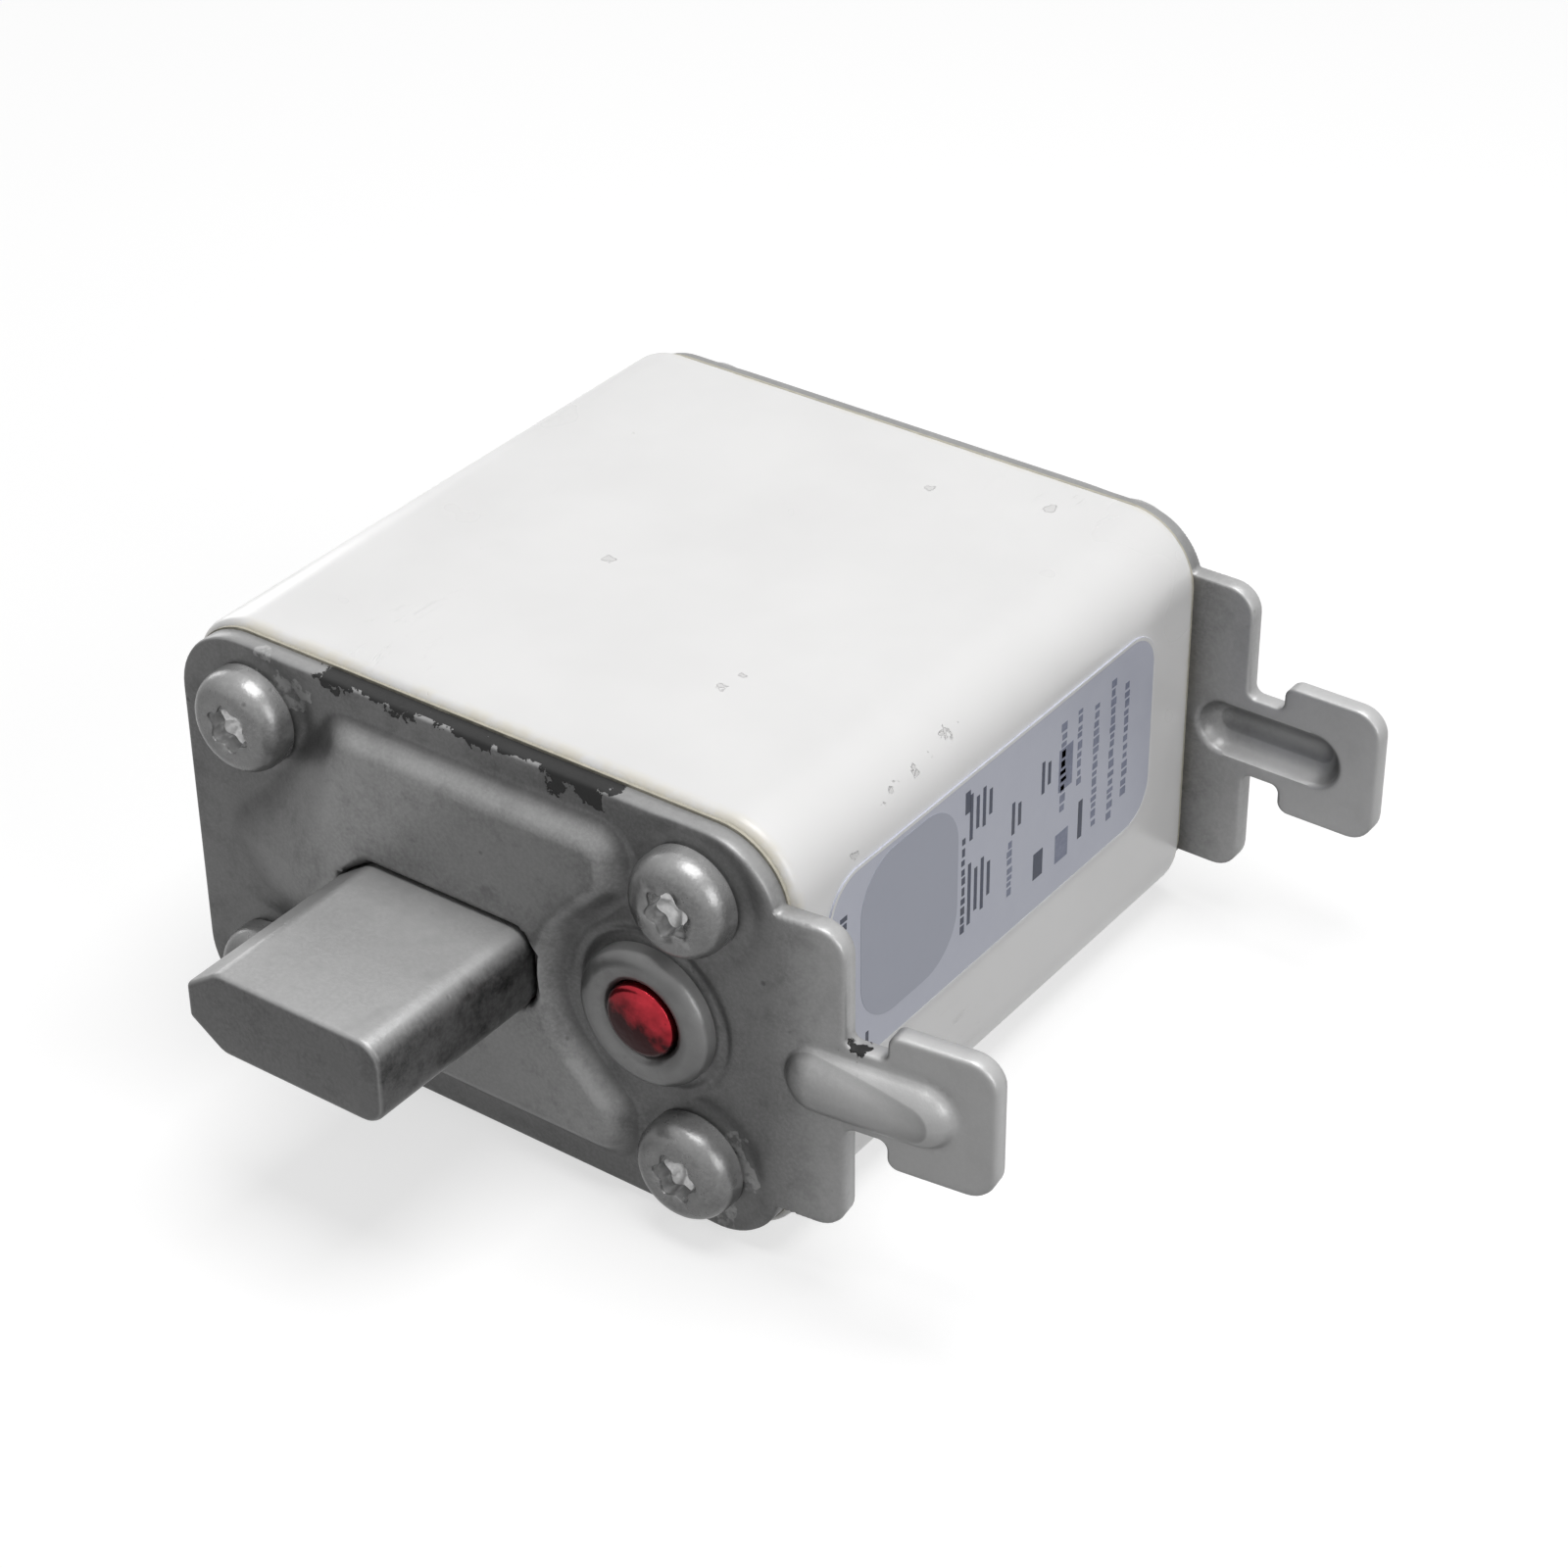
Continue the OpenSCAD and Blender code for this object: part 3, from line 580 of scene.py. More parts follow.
# The blades get patchy painted shade on their side toward the indicator and on their tips.
BLADE_SILVER = matt_metal(
    "silver_plating", 0.28, 0.34, 0.34, 0.44, 0.35, 0.25, rub=0.5, grain_mm=0.3, shade_blade_sides=True)
SCREW_STEEL = matt_metal("screw_steel", 0.20, 0.28, 0.24, 0.34, 0.6, 0.4, rub=0.5)
# The screw recesses are painted bright, as a glint.
RECESS_GLINT_STEEL = matt_metal("painted_recess_glint", 0.55, 0.85, 0.18, 0.3, 0.3, 0.5)
HOUSING_GREY = matt_metal("housing_grey", 0.28, 0.33, 0.30, 0.38, 0.25, 0.2, rub=0.15, grain_mm=0.6)
print("metals ready")

# %% [markdown]
# The button is metal under a red lacquer: a deep metallic red with a painted highlight toward its upper right
# and painted shade toward its lower left, and small dark specks where the lacquer is gone.

# %% Red lacquer


def red_lacquer():
    mat, nt, bsdf = new_material("red_lacquer")
    at = place(nt)
    clouds = grain(nt, at, 0.9, 3)
    # A painted highlight toward the upper right, with painted shade toward the lower left.
    sideways = combine(nt, "SUBTRACT", axis_of(nt, at, "X"), IND_X * MM)
    upward = combine(nt, "SUBTRACT", axis_of(nt, at, "Z"), MID_Z * MM)
    corner = combine(nt, "ADD", combine(nt, "MULTIPLY", sideways, 0.5), upward)
    cloudy = combine(nt, "ADD", corner, spread(nt, clouds, 0.3, 0.7, -0.7 * MM, 0.7 * MM))
    paler = spread(nt, cloudy, -0.6 * MM, 2.6 * MM)
    tone = blend(nt, paler, (0.022, 0.001, 0.002, 1), (0.48, 0.030, 0.045, 1))
    specks = spread(nt, cells(nt, at, 0.7), 0.14, 0.05)
    tone = blend(nt, combine(nt, "MULTIPLY", specks, 0.35), tone, (0.03, 0.001, 0.002, 1))
    link(nt, tone, bsdf.inputs["Base Color"])
    bsdf.inputs["Metallic"].default_value = 0.85
    link(nt, spread(nt, clouds, 0.3, 0.7, 0.16, 0.28), bsdf.inputs["Roughness"])
    bsdf.inputs["Specular IOR Level"].default_value = 0.3
    bumps(nt, bsdf, [(clouds, 0.03)])
    return mat


RED = red_lacquer()
print("lacquer ready")

# %% [markdown]
# The film of the label, its inks and everything that a whole fuse hides need only a simple cloudy material.

# %% Simple materials


def plain_stuff(name, first, second, size_mm, rough, metallic=0.0, depth_mm=0.03):
    """A material whose colour wanders in soft clouds between two values."""
    mat, nt, bsdf = new_material(name)
    at = place(nt)
    clouds = grain(nt, at, size_mm, 5, 0.6)
    link(nt, blend(nt, spread(nt, clouds, 0.3, 0.7), first, second), bsdf.inputs["Base Color"])
    bsdf.inputs["Metallic"].default_value = metallic
    link(nt, spread(nt, clouds, 0.3, 0.7, rough - 0.07, rough + 0.07), bsdf.inputs["Roughness"])
    bumps(nt, bsdf, [(clouds, depth_mm)])
    return mat


GASKET = plain_stuff("fibre_gasket", (0.42, 0.40, 0.33, 1), (0.58, 0.55, 0.46, 1), 0.8, 0.75, depth_mm=0.1)
SAND = plain_stuff("bound_sand", (0.62, 0.54, 0.40, 1), (0.78, 0.72, 0.60, 1), 0.4, 0.9, depth_mm=0.15)
SILVER = plain_stuff("bright_silver", grey(0.75), grey(0.88), 2.0, 0.2, metallic=1.0)
COPPER = plain_stuff("plated_copper", (0.62, 0.42, 0.32, 1), (0.72, 0.62, 0.55, 1), 4.0, 0.35, metallic=1.0)
SPRING_STEEL = plain_stuff("spring_steel", grey(0.4), grey(0.55), 1.0, 0.3, metallic=1.0)
SLEEVE = plain_stuff("ceramic_sleeve", grey(0.75, 0.02), grey(0.85, 0.02), 1.5, 0.7)
WIRE = plain_stuff("resistance_wire", grey(0.5, 0.02), grey(0.62, 0.02), 0.5, 0.35, metallic=1.0)
print("inner materials ready")

# %% [markdown]
# The end plates are the pieces that take the most skill. Each is one sheet, so it is made as a fine flat
# mesh whose points are pushed outward by a height: the pad, the rib and the soft bends at their feet. Pushing
# a flat mesh keeps the sheet's thickness and gives the smooth bends that a press gives, which joined blocks
# never have.

# %% Sizes of the stamping
PAD_H = 1.3
PAD_TOE_V = 12.3
PAD_RIGHT = 12.4
PAD_LEFT = 10.2
PAD_LOBE = 21.5
HOLLOW_R = 6.8
FLANK_RUN = 1.1
FLARE = math.radians(45)
PLATE_R = 5.0
TAB_V = 10.9
TAB_REACH = 4.5
NOTCH_W = 2.7
NOTCH_R = 0.6
NECK_V = 3.0
HEAD_V = 4.9
LUG_R = 1.9
CLAW_R = 0.8
RIB_R = 2.4
RIB_RISE = 1.6
RIB_T = 1.1
GROOVE_R = 1.9
RIB_BACK = 0.4
RIB_MARGIN = 2.4
FLANK_T = 1.0
BEND = 0.55
TAB_X = PLATE_HALF_W + TAB_REACH
HEAD_X = TAB_X + NOTCH_W
print("pad", PAD_H, "mm high, lug head from", round(float(HEAD_X), 1), "to", round(float(LUG_END), 1), "mm")

# %% [markdown]
# The pad has a foot line on the plate and a smaller face line on top. Both bend round the indicator and run
# out in a pointed lobe at the plain side, so one function draws both from a few sizes.

# %% The pad's foot line and face line


def pad_line(right, v, left, bend, lobe, hollow, corner):
    """One line round the pad, with a hollow round the indicator and a pointed lobe at the plain side."""
    waist = IND_X - hollow / math.sin(FLARE)
    flare_v = (right - waist) * math.tan(FLARE)
    return [
        (right, -v, corner), (right, -flare_v, corner), (waist, 0, hollow), (right, flare_v, corner),
        (right, v, corner), (-left, v, corner), (-bend[0], bend[1], 5), (-lobe, 0, 3),
        (-bend[0], -bend[1], 5), (-left, -v, corner),
    ]


FACE_V = PAD_TOE_V - FLANK_RUN
FACE_LEFT = PAD_LEFT - FLANK_RUN
FACE_LOBE = 12.7
TOE_LINE = pad_line(PAD_RIGHT, PAD_TOE_V, PAD_LEFT, (PAD_LEFT + 5, PAD_TOE_V - 6.3), PAD_LOBE, HOLLOW_R, 2.0)
FACE_LINE = pad_line(
    PAD_RIGHT - FLANK_RUN, FACE_V, FACE_LEFT, (FACE_LEFT + 1.9, FACE_V - 5.6), FACE_LOBE,
    HOLLOW_R + FLANK_RUN, 1.4)
print("foot line has", len(rounded(TOE_LINE)), "points")

# %% [markdown]
# The plate and its gripping lug are cut from one sheet: a plate with round corners, a tab at its side, a
# notched neck and a head with small claws. Its corners are arcs, and the lug is a rounded outline between.

# %% The plate's outline


def plate_loop(shrink, trim=0.0):
    """The plate with its tab, neck and lug head, drawn in by shrink; counter-clockwise from the lug."""
    centre_x, centre_v = PLATE_HALF_W - PLATE_R, PLATE_HALF_H - trim - PLATE_R
    r = PLATE_R - shrink
    start = math.asin((TAB_V - shrink - centre_v) / r)
    lug = [
        (0, -TAB_V, 1), (TAB_X, -TAB_V, LUG_R), (TAB_X, -NECK_V, NOTCH_R), (HEAD_X, -NECK_V, NOTCH_R),
        (HEAD_X, -HEAD_V, CLAW_R), (LUG_END, -HEAD_V, LUG_R), (LUG_END, HEAD_V, LUG_R),
        (HEAD_X, HEAD_V, CLAW_R), (HEAD_X, NECK_V, NOTCH_R), (TAB_X, NECK_V, NOTCH_R),
        (TAB_X, TAB_V, LUG_R), (0, TAB_V, 1),
    ]
    steps = 8
    side = rounded(lug, -shrink, steps)[steps + 1:-(steps + 1)]

    def arc(cx, cy, low, high):
        a = np.linspace(low, high, 14)
        return np.column_stack([cx + r * np.cos(a), cy + r * np.sin(a)])

    quarter = math.pi / 2
    return np.vstack([
        side,
        arc(centre_x, centre_v, start, quarter),
        arc(-centre_x, centre_v, quarter, 2 * quarter),
        arc(-centre_x, -centre_v, 2 * quarter, 3 * quarter),
        arc(centre_x, -centre_v, 3 * quarter, 4 * quarter - start),
    ])


print("plate outline has", len(plate_loop(0)), "points")

# %% [markdown]
# Height is worked out for each point: across the flank it rises from 0 to 1 with a rounded bend at both ends,
# as a press leaves it. A bevel on blocks would give the same line, but not the soft run of the real flank.

# %% Heights of the pad and the rib


def soft_ramp(t, w):
    """A straight ramp from 0 to 1 whose two bends are rounded over w on each side."""
    low = np.where(t < w, (t + w) ** 2 / (4 * w), t)
    high = 1 - np.where(1 - t < w, (1 - t + w) ** 2 / (4 * w), 1 - t)
    soft = np.where(t < 0.5, low, high)
    return np.where(t <= -w, 0, np.where(t >= 1 + w, 1, soft))


def pad_height(points, inset):
    """Height of the pad: a ramp from its foot line to its face, with bends of the same size all round."""
    toe = reach_inside(points, rounded(TOE_LINE, -inset))
    face = -reach_inside(points, rounded(FACE_LINE, -inset))
    run = np.maximum(toe + face, 0.5)
    return PAD_H * soft_ramp(toe / run, np.minimum(0.5, BEND / run))


def rib_ends():
    return PLATE_HALF_W + RIB_BACK + RIB_R, LUG_END - RIB_MARGIN - RIB_R


def rib_height(points, radius, rise, soft):
    """A half-round bar along the lug; soft rounds the foot of its sides."""
    first, last = rib_ends()
    off = np.hypot(points[:, 0] - np.clip(points[:, 0], first, last), points[:, 1])
    top = np.sqrt(np.maximum(radius ** 2 - off ** 2, 0)) - (radius - rise)
    top = np.where(off < radius, top, -3 * (off - radius) - (radius - rise))
    return 0.5 * (top + np.sqrt(top ** 2 + soft ** 2)) - 0.5 * soft * np.exp(-((off / radius) ** 4))


def stadium(radius, spacing=0.25):
    first, last = rib_ends()
    half = np.linspace(-math.pi / 2, math.pi / 2, 14)
    right = np.column_stack([last + radius * np.cos(half), radius * np.sin(half)])
    left = np.column_stack([first - radius * np.cos(half), -radius * np.sin(half)])
    return resampled(np.vstack([right, left]), spacing)


print("the rib runs from", [round(float(x), 1) for x in rib_ends()], "mm")

# %% [markdown]
# The flat mesh comes from a triangulation that must keep the outline and the holes. A few rows of points
# just inside the edge let the edge be rolled over by a fraction of a millimetre, as a sheared and tumbled
# edge is, so it catches the light.

# %% The flat mesh of a plate


def flat_mesh(loops, row_loops, spacing):
    """Triangles over the first loop less the others, with the rows kept and an even grid between."""
    edge_points, edges = [], []
    for loop in loops:
        start = len(edge_points)
        edge_points += list(loop)
        edges += [(start + i, start + (i + 1) % len(loop)) for i in range(len(loop))]
    rows = np.vstack(row_loops)
    near = 0.45 * spacing
    low, high = loops[0].min(0), loops[0].max(0)
    xs = np.arange(low[0], high[0], spacing)
    ys = np.arange(low[1], high[1], spacing * 0.866)
    grid = np.array([(x + (k % 2) * spacing / 2, y) for k, y in enumerate(ys) for x in xs])
    keep = reach_inside(grid, loops[0]) > spacing * 0.6 + 0.25
    for hole in loops[1:]:
        keep &= reach_inside(grid, hole) < -spacing * 0.6
    for row in row_loops:
        keep &= np.abs(reach_inside(grid, row)) > near
    grid = grid[keep]
    every = np.vstack([np.array(edge_points), rows, grid])
    found = geometry.delaunay_2d_cdt([Vector(p) for p in every], edges, [], 0, 1e-6)
    points = np.array([tuple(p) for p in found[0]])
    faces = np.array([tuple(f) for f in found[2]])
    middle = points[faces].mean(1)
    inside = reach_inside(middle, loops[0]) > 0
    for hole in loops[1:]:
        inside &= reach_inside(middle, hole) < 0
    return points, faces[inside]


print("flat mesh helper ready")

# %% [markdown]
# The sheet is that flat mesh twice, an outer and an inner skin, joined along every border. A solidify
# modifier would do for a plain sheet, but the hollow back of the pad and the lug's groove have heights of
# their own.

# %% The sheet


def border_edges(faces):
    """Directed edges that only one triangle has."""
    seen = {}
    for f in faces:
        for i in range(3):
            seen[(f[i], f[(i + 1) % 3])] = True
    return [e for e in seen if (e[1], e[0]) not in seen]


def sheet_piece(name, loops, row_loops, spacing, to_world, flip, material, replaced, edge_r=0.28):
    """A stamped sheet: the flat mesh twice, pushed outward by two heights, joined along its borders."""
    flat, tris = flat_mesh(loops, row_loops, spacing)
    gap = reach_inside(flat, loops[0])
    for hole in loops[1:]:
        gap = np.minimum(gap, -reach_inside(flat, hole))
    gap = np.clip(gap, 0, edge_r)
    roll = edge_r - np.sqrt(np.maximum(edge_r ** 2 - (edge_r - gap) ** 2, 0))
    outer = np.column_stack([flat, PLATE_OUT + outer_height(flat) - roll])
    inner = np.column_stack([flat, PLATE_IN + inner_height(flat) + roll * 0.4])
    n = len(flat)
    faces = [tuple(f) for f in tris] + [(f[2] + n, f[1] + n, f[0] + n) for f in tris]
    faces += [(b, a, a + n, b + n) for a, b in border_edges(tris)]
    if flip:
        faces = [tuple(reversed(f)) for f in faces]
    return make_piece(name, to_world(np.vstack([outer, inner])), faces, material, replaced, sharp=50)


print("the cut edge is rolled over by a quarter of a millimetre")

# %% [markdown]
# Each plate is pierced for its four screws and for the blade, and the near one for the indicator. The slot
# follows the blade's own section, with a small gap round it.

# %% Screw holes, the blade's slot and the indicator's port
HEAD_R = 3.5
SCREW_HOLE_R = 1.9
BLADE_T = 6.0
BLADE_OFFSET = 2.0
BLADE_HALF_W = 7.7
EDGE_T = 2.4
EDGE_RUN = 2.6
SLOPE_R, FLANK_R, BLUNT_R = 0.5, 1.5, 1.7
BLADE_LEFT, BLADE_RIGHT = -BLADE_OFFSET - BLADE_HALF_W, -BLADE_OFFSET + BLADE_HALF_W
BLADE_LINE = [
    (BLADE_LEFT, -EDGE_T / 2, SLOPE_R), (BLADE_LEFT + EDGE_RUN, -BLADE_T / 2, FLANK_R),
    (BLADE_RIGHT, -BLADE_T / 2, BLUNT_R), (BLADE_RIGHT, BLADE_T / 2, BLUNT_R),
    (BLADE_LEFT + EDGE_RUN, BLADE_T / 2, FLANK_R), (BLADE_LEFT, EDGE_T / 2, SLOPE_R),
]
SLOT_GAP = 0.1
PORT_R = 3.9
HOLE_ORDER = [(-1, -1), (-1, 1), (1, -1), (1, 1)]


def plate_holes(with_port):
    holes = [circle(sx * SCREW_CX, sy * SCREW_CV, SCREW_HOLE_R, 32) for sx, sy in HOLE_ORDER]
    holes.append(resampled(rounded(BLADE_LINE, SLOT_GAP, 5), 0.4))
    if with_port:
        holes.append(circle(IND_X, 0, PORT_R, 48))
    return holes


print("slot is", round(BLADE_T + 2 * SLOT_GAP, 1), "mm high")

# %% [markdown]
# Last come the heights of the outer and the inner skin, and the two plates themselves. Screws and collar have
# pressed faint rings into the sheet, which catch the light round them.

# %% The two end plates


def pressed_ring(points, x, v, radius, width, depth):
    """A shallow ring that a seated screw or collar leaves in the sheet."""
    away = np.hypot(points[:, 0] - x, points[:, 1] - v)
    return depth * np.exp(-((away - radius) / width) ** 2)


def on_lug(points):
    return points[:, 0] > BODY_HALF_W - RIB_BACK


def outer_height(points):
    h = pad_height(points, 0)
    dish = sum(pressed_ring(points, sx * SCREW_CX, sy * SCREW_CV, 4.4, 0.6, 0.10) for sx, sy in HOLE_ORDER)
    dish += pressed_ring(points, IND_X, 0, 5.5, 0.3, 0.16)
    return h + rib_height(points, RIB_R, RIB_RISE, 0.2) * on_lug(points) - dish * (h < 0.02)


def inner_height(points):
    groove = rib_height(points, GROOVE_R, PLATE_T + RIB_RISE - RIB_T, 0.55) * on_lug(points)
    return np.maximum(pad_height(points, FLANK_T), groove)


def end_plate(name, with_port, to_world, flip, material, node, spacing, trim):
    """One whole plate; trim draws its long edges in, as the photo shows them."""
    loops = [resampled(plate_loop(0, trim), 0.4)] + plate_holes(with_port)
    rows = [resampled(plate_loop(d, trim), 0.4) for d in (0.07, 0.16, 0.28)]
    rows += [stadium(r) for r in (2.45, 2.26, 2.05, 1.88, 1.7)]
    rows += [resampled(rounded(line), 0.3) for line in (TOE_LINE, FACE_LINE)]
    return sheet_piece(name, loops, rows, spacing, to_world, flip, material, [node])


FINE = 0.3
end_plate(
    "stamped_indicator_plate", True, front_to_world, False, MARKED_STEEL, "indicator_end_plate", FINE, 0.1)
end_plate(
    "stamped_plain_plate", False, rear_to_world, True, PLATE_STEEL, "plain_end_plate", FINE * 1.3, 0.4)

# %% [markdown]
# The blades are forged copper with silver plating. The near edge is drawn down to a narrow flat, the other
# is blunt and round. Rings along the blade give the rounded tip edge, and the part inside the plate's slot is
# a tenth of a millimetre smaller all round.

# %% The blades
TIP_BEVEL = 0.4
STEM_STEP = 0.1


def blade(name, to_world, flip, node):
    stem_end = PLATE_OUT + PAD_H + 0.1
    stations = [(END_FACE + 0.02, -STEM_STEP), (stem_end, -STEM_STEP)]
    stations += [(stem_end, 0.0), ((stem_end + TIP) / 2, 0.0)]
    stations += [
        (TIP - TIP_BEVEL * (1 - math.sin(a)), -TIP_BEVEL * (1 - math.cos(a)))
        for a in np.linspace(0, math.pi / 2, 6)
    ]
    rings = []
    for out, grow in stations:
        line = rounded(BLADE_LINE, grow, 8)
        rings.append(np.column_stack([line, np.full(len(line), out)]))
    faces = loft_faces(len(rings[0]), len(rings))
    if flip:
        faces = [tuple(reversed(f)) for f in faces]
    return make_piece(name, to_world(np.vstack(rings)), faces, BLADE_SILVER, [node])


blade("indicator_end_blade", front_to_world, False, "front_blade")
blade("plain_end_blade", rear_to_world, True, "rear_blade")

# %% [markdown]
# Four pan-head screws hold each plate. A head is a stack of rings: straight side, domed shoulder, flat top,
# and a six-lobed recess, which is only a ring whose radius goes up and down six times. The recess is painted
# bright as a glint, so its faces get a material of their own. Each screw stopped at a turn of its own.

# %% The screws
HEAD_RISE, HEAD_SIDE, HEAD_FLAT_R = 2.5, 0.9, 2.1
SHANK_R, SHANK_L = 1.75, 8.0
RECESS_R, LOBE, RECESS_DEPTH = 1.45, 0.2, 1.4
ROUND_ORDER = [(-1, -1), (1, -1), (1, 1), (-1, 1)]
FIRST_TURN, NEXT_TURN = 0.35, 0.7


def screw_rings(cx, cv, spin, count=72):
    a = 2 * math.pi * np.arange(count) / count
    lobed = RECESS_R + LOBE * np.cos(6 * (a + spin))
    stations = [(SHANK_R, -SHANK_L), (SHANK_R, -0.02), (HEAD_R - 0.15, 0.0), (HEAD_R, 0.15)]
    dome_r, dome_rise = HEAD_R - HEAD_FLAT_R, HEAD_RISE - HEAD_SIDE
    stations += [
        (HEAD_FLAT_R + dome_r * math.cos(t), HEAD_SIDE + dome_rise * math.sin(t))
        for t in np.linspace(0, math.pi / 2, 9)
    ]
    rings = [(np.full(count, r), h) for r, h in stations]
    rings += [(lobed + 0.16, HEAD_RISE), (lobed + 0.05, HEAD_RISE - 0.06), (lobed, HEAD_RISE - 0.2)]
    rings += [(lobed * 0.93, HEAD_RISE - RECESS_DEPTH + 0.3), (lobed * 0.5, HEAD_RISE - RECESS_DEPTH)]
    return [
        np.column_stack([cx + r * np.cos(a), cv + r * np.sin(a), np.full(count, PLATE_OUT + h)])
        for r, h in rings
    ]


def screws(name, to_world, flip, node):
    points, faces = [], []
    for k, (sx, sy) in enumerate(ROUND_ORDER):
        rings = screw_rings(sx * SCREW_CX, sy * SCREW_CV, FIRST_TURN + NEXT_TURN * k)
        faces += loft_faces(len(rings[0]), len(rings), True, len(points))
        points += list(np.vstack(rings))
    if flip:
        faces = [tuple(reversed(f)) for f in faces]
    heads = make_piece(name, to_world(np.array(points)), faces, SCREW_STEEL, [node])
    # The recess faces get the bright steel: a painted glint.
    heads.data.materials.append(RECESS_GLINT_STEEL)
    one_screw, count = len(faces) // len(ROUND_ORDER), len(rings[0])
    recess_start, shank_end = (len(rings) - 3) * count, (len(rings) - 1) * count
    for face in heads.data.polygons:
        at_face = face.index % one_screw
        face.material_index = int(at_face >= recess_start and at_face != shank_end)


screws("indicator_end_screws", front_to_world, False, "front_screws")
screws("plain_end_screws", rear_to_world, True, "rear_screws")

# %% [markdown]
# The indicator is a turned insert: a domed grey collar round a bore, and the red button that stands just
# proud of it. Both are revolved profiles. The button is on its own body, so it can pop out.

# %% The indicator


def revolved(name, profile, material, node, body="fuse", count=96):
    a = 2 * math.pi * np.arange(count) / count
    rings = [
        np.column_stack([IND_X + r * np.cos(a), r * np.sin(a), np.full(count, out)]) for r, out in profile
    ]
    faces = loft_faces(count, len(rings), True)
    return make_piece(name, front_to_world(np.vstack(rings)), faces, material, [node], body)


BORE_R, BARREL_R, STEM_HOLE_R, COLLAR_FLOOR, COLLAR_ROUND = 2.6, 3.6, 1.1, 1.0, 0.8
STEM_R, STEM_FOOT_R, STEM_FOOT_L, BUTTON_L = 0.9, 1.6, 1.0, 5.85
BUTTON_ROUND, BUTTON_DOME, AXIS_R = 0.5, 0.17, 0.02


def collar_profile():
    r, top, back = (HOUSING_HIGH[0] - HOUSING_LOW[0]) / 2, -HOUSING_LOW[1], -HOUSING_HIGH[1]
    crown = (r - BORE_R) / 2
    profile = [(STEM_HOLE_R, back), (BARREL_R, back), (BARREL_R, PLATE_OUT), (r, PLATE_OUT)]
    profile += [
        (BORE_R + crown + crown * math.cos(t), top - COLLAR_ROUND * (1 - math.sin(t)))
        for t in np.linspace(0, math.pi, 17)
    ]
    return profile + [(BORE_R, back + COLLAR_FLOOR), (STEM_HOLE_R, back + COLLAR_FLOOR)]


def button_profile():
    r, face, back = (BUTTON_HIGH[0] - BUTTON_LOW[0]) / 2, -BUTTON_LOW[1], -BUTTON_HIGH[1]
    flat_r, side_end, foot_end = r - BUTTON_ROUND, face - 0.5, back + STEM_FOOT_L
    profile = [(AXIS_R, back), (STEM_FOOT_R, back), (STEM_FOOT_R, foot_end), (STEM_R, foot_end)]
    profile += [(STEM_R, face - BUTTON_L), (r, face - BUTTON_L)]
    profile += [
        (flat_r + BUTTON_ROUND * math.cos(t), side_end + (0.5 - BUTTON_DOME) * math.sin(t))
        for t in np.linspace(0, math.pi / 2, 7)
    ]
    profile += [(x, face - BUTTON_DOME * (x / flat_r) ** 2) for x in np.linspace(flat_r - 0.1, AXIS_R, 10)]
    return profile


revolved("indicator_collar", collar_profile(), HOUSING_GREY, "indicator_housing")
revolved("red_indicator_button", button_profile(), RED, "indicator_button", "indicator")

# %% [markdown]
# The ceramic block keeps its extruded outline but its end edges are softly rounded by the glaze. It is made
# as a tube: outer rings that shrink at the ends, then inner rings for the chamber.

# %% The ceramic body
BODY_R = 5.0
GLAZED_EDGE = 0.7
WALL = 4.6


def ceramic():
    w, h, edge = BODY_HALF_W, MID_Z, GLAZED_EDGE
    corners = [(w, -h, BODY_R), (w, h, BODY_R), (-w, h, BODY_R), (-w, -h, BODY_R)]
    bends = np.linspace(0, math.pi / 2, 6)
    stations = [(-END_FACE + edge * (1 - math.sin(t)), edge * (1 - math.cos(t))) for t in reversed(bends)]
    stations += [(y, 0.0) for y in np.linspace(-END_FACE + edge + 1, END_FACE - edge - 1, 12)]
    stations += [(END_FACE - edge * (1 - math.sin(t)), edge * (1 - math.cos(t))) for t in bends]
    stations += [(END_FACE, WALL), (-END_FACE, WALL)]
    rings = []
    for y, shrink in stations:
        line = rounded(corners, -shrink, 14)
        rings.append(np.column_stack([line[:, 0], np.full(len(line), y), MID_Z + line[:, 1]]))
    n = len(rings[0])
    faces = loft_faces(n, len(rings), closed_ends=False)
    last = (len(rings) - 1) * n
    faces += [(last + i, last + (i + 1) % n, (i + 1) % n, i) for i in range(n)]
    faces = [tuple(reversed(f)) for f in faces]
    return make_piece("glazed_ceramic_block", np.vstack(rings), faces, CERAMIC, ["ceramic_body"])


ceramic()

# %% [markdown]
# The label is a thin film with a slight sheen. Its print is generic: columns of short dashes, plain bars and
# one plain block. Each is a very thin closed layer on the film, and a pale ring round the film is a painted
# highlight on its cut edge.

# %% The label's film and inks
LABEL = plain_stuff("label_film", (0.56, 0.58, 0.68, 1), (0.62, 0.64, 0.73, 1), 5.0, 0.4, depth_mm=0.01)
INK = plain_stuff("label_ink", (0.012, 0.018, 0.040, 1), (0.05, 0.06, 0.10, 1), 0.8, 0.5, depth_mm=0.002)
FADED_INK = plain_stuff("faded_ink", (0.16, 0.18, 0.26, 1), (0.28, 0.30, 0.40, 1), 0.6, 0.5, depth_mm=0.002)
BLOCK_INK = plain_stuff("block_ink", (0.44, 0.46, 0.54, 1), (0.47, 0.49, 0.57, 1), 3.0, 0.5, depth_mm=0.002)
# A pale ring round the film, a painted highlight on its cut edge.
EDGE_HIGHLIGHT = plain_stuff("label_edge_highlight", grey(0.80), grey(0.9), 1.5, 0.4, depth_mm=0.002)
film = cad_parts["rating_label"].data
film.materials.clear()
film.materials.append(LABEL)
LABEL_R = 3
SUNK, PRINT_RISE = 0.01, 0.012
LABEL_X = LABEL_HIGH[0] + PRINT_RISE
print("film is", round(float(LABEL_HIGH[1] - LABEL_LOW[1]), 1), "mm long")

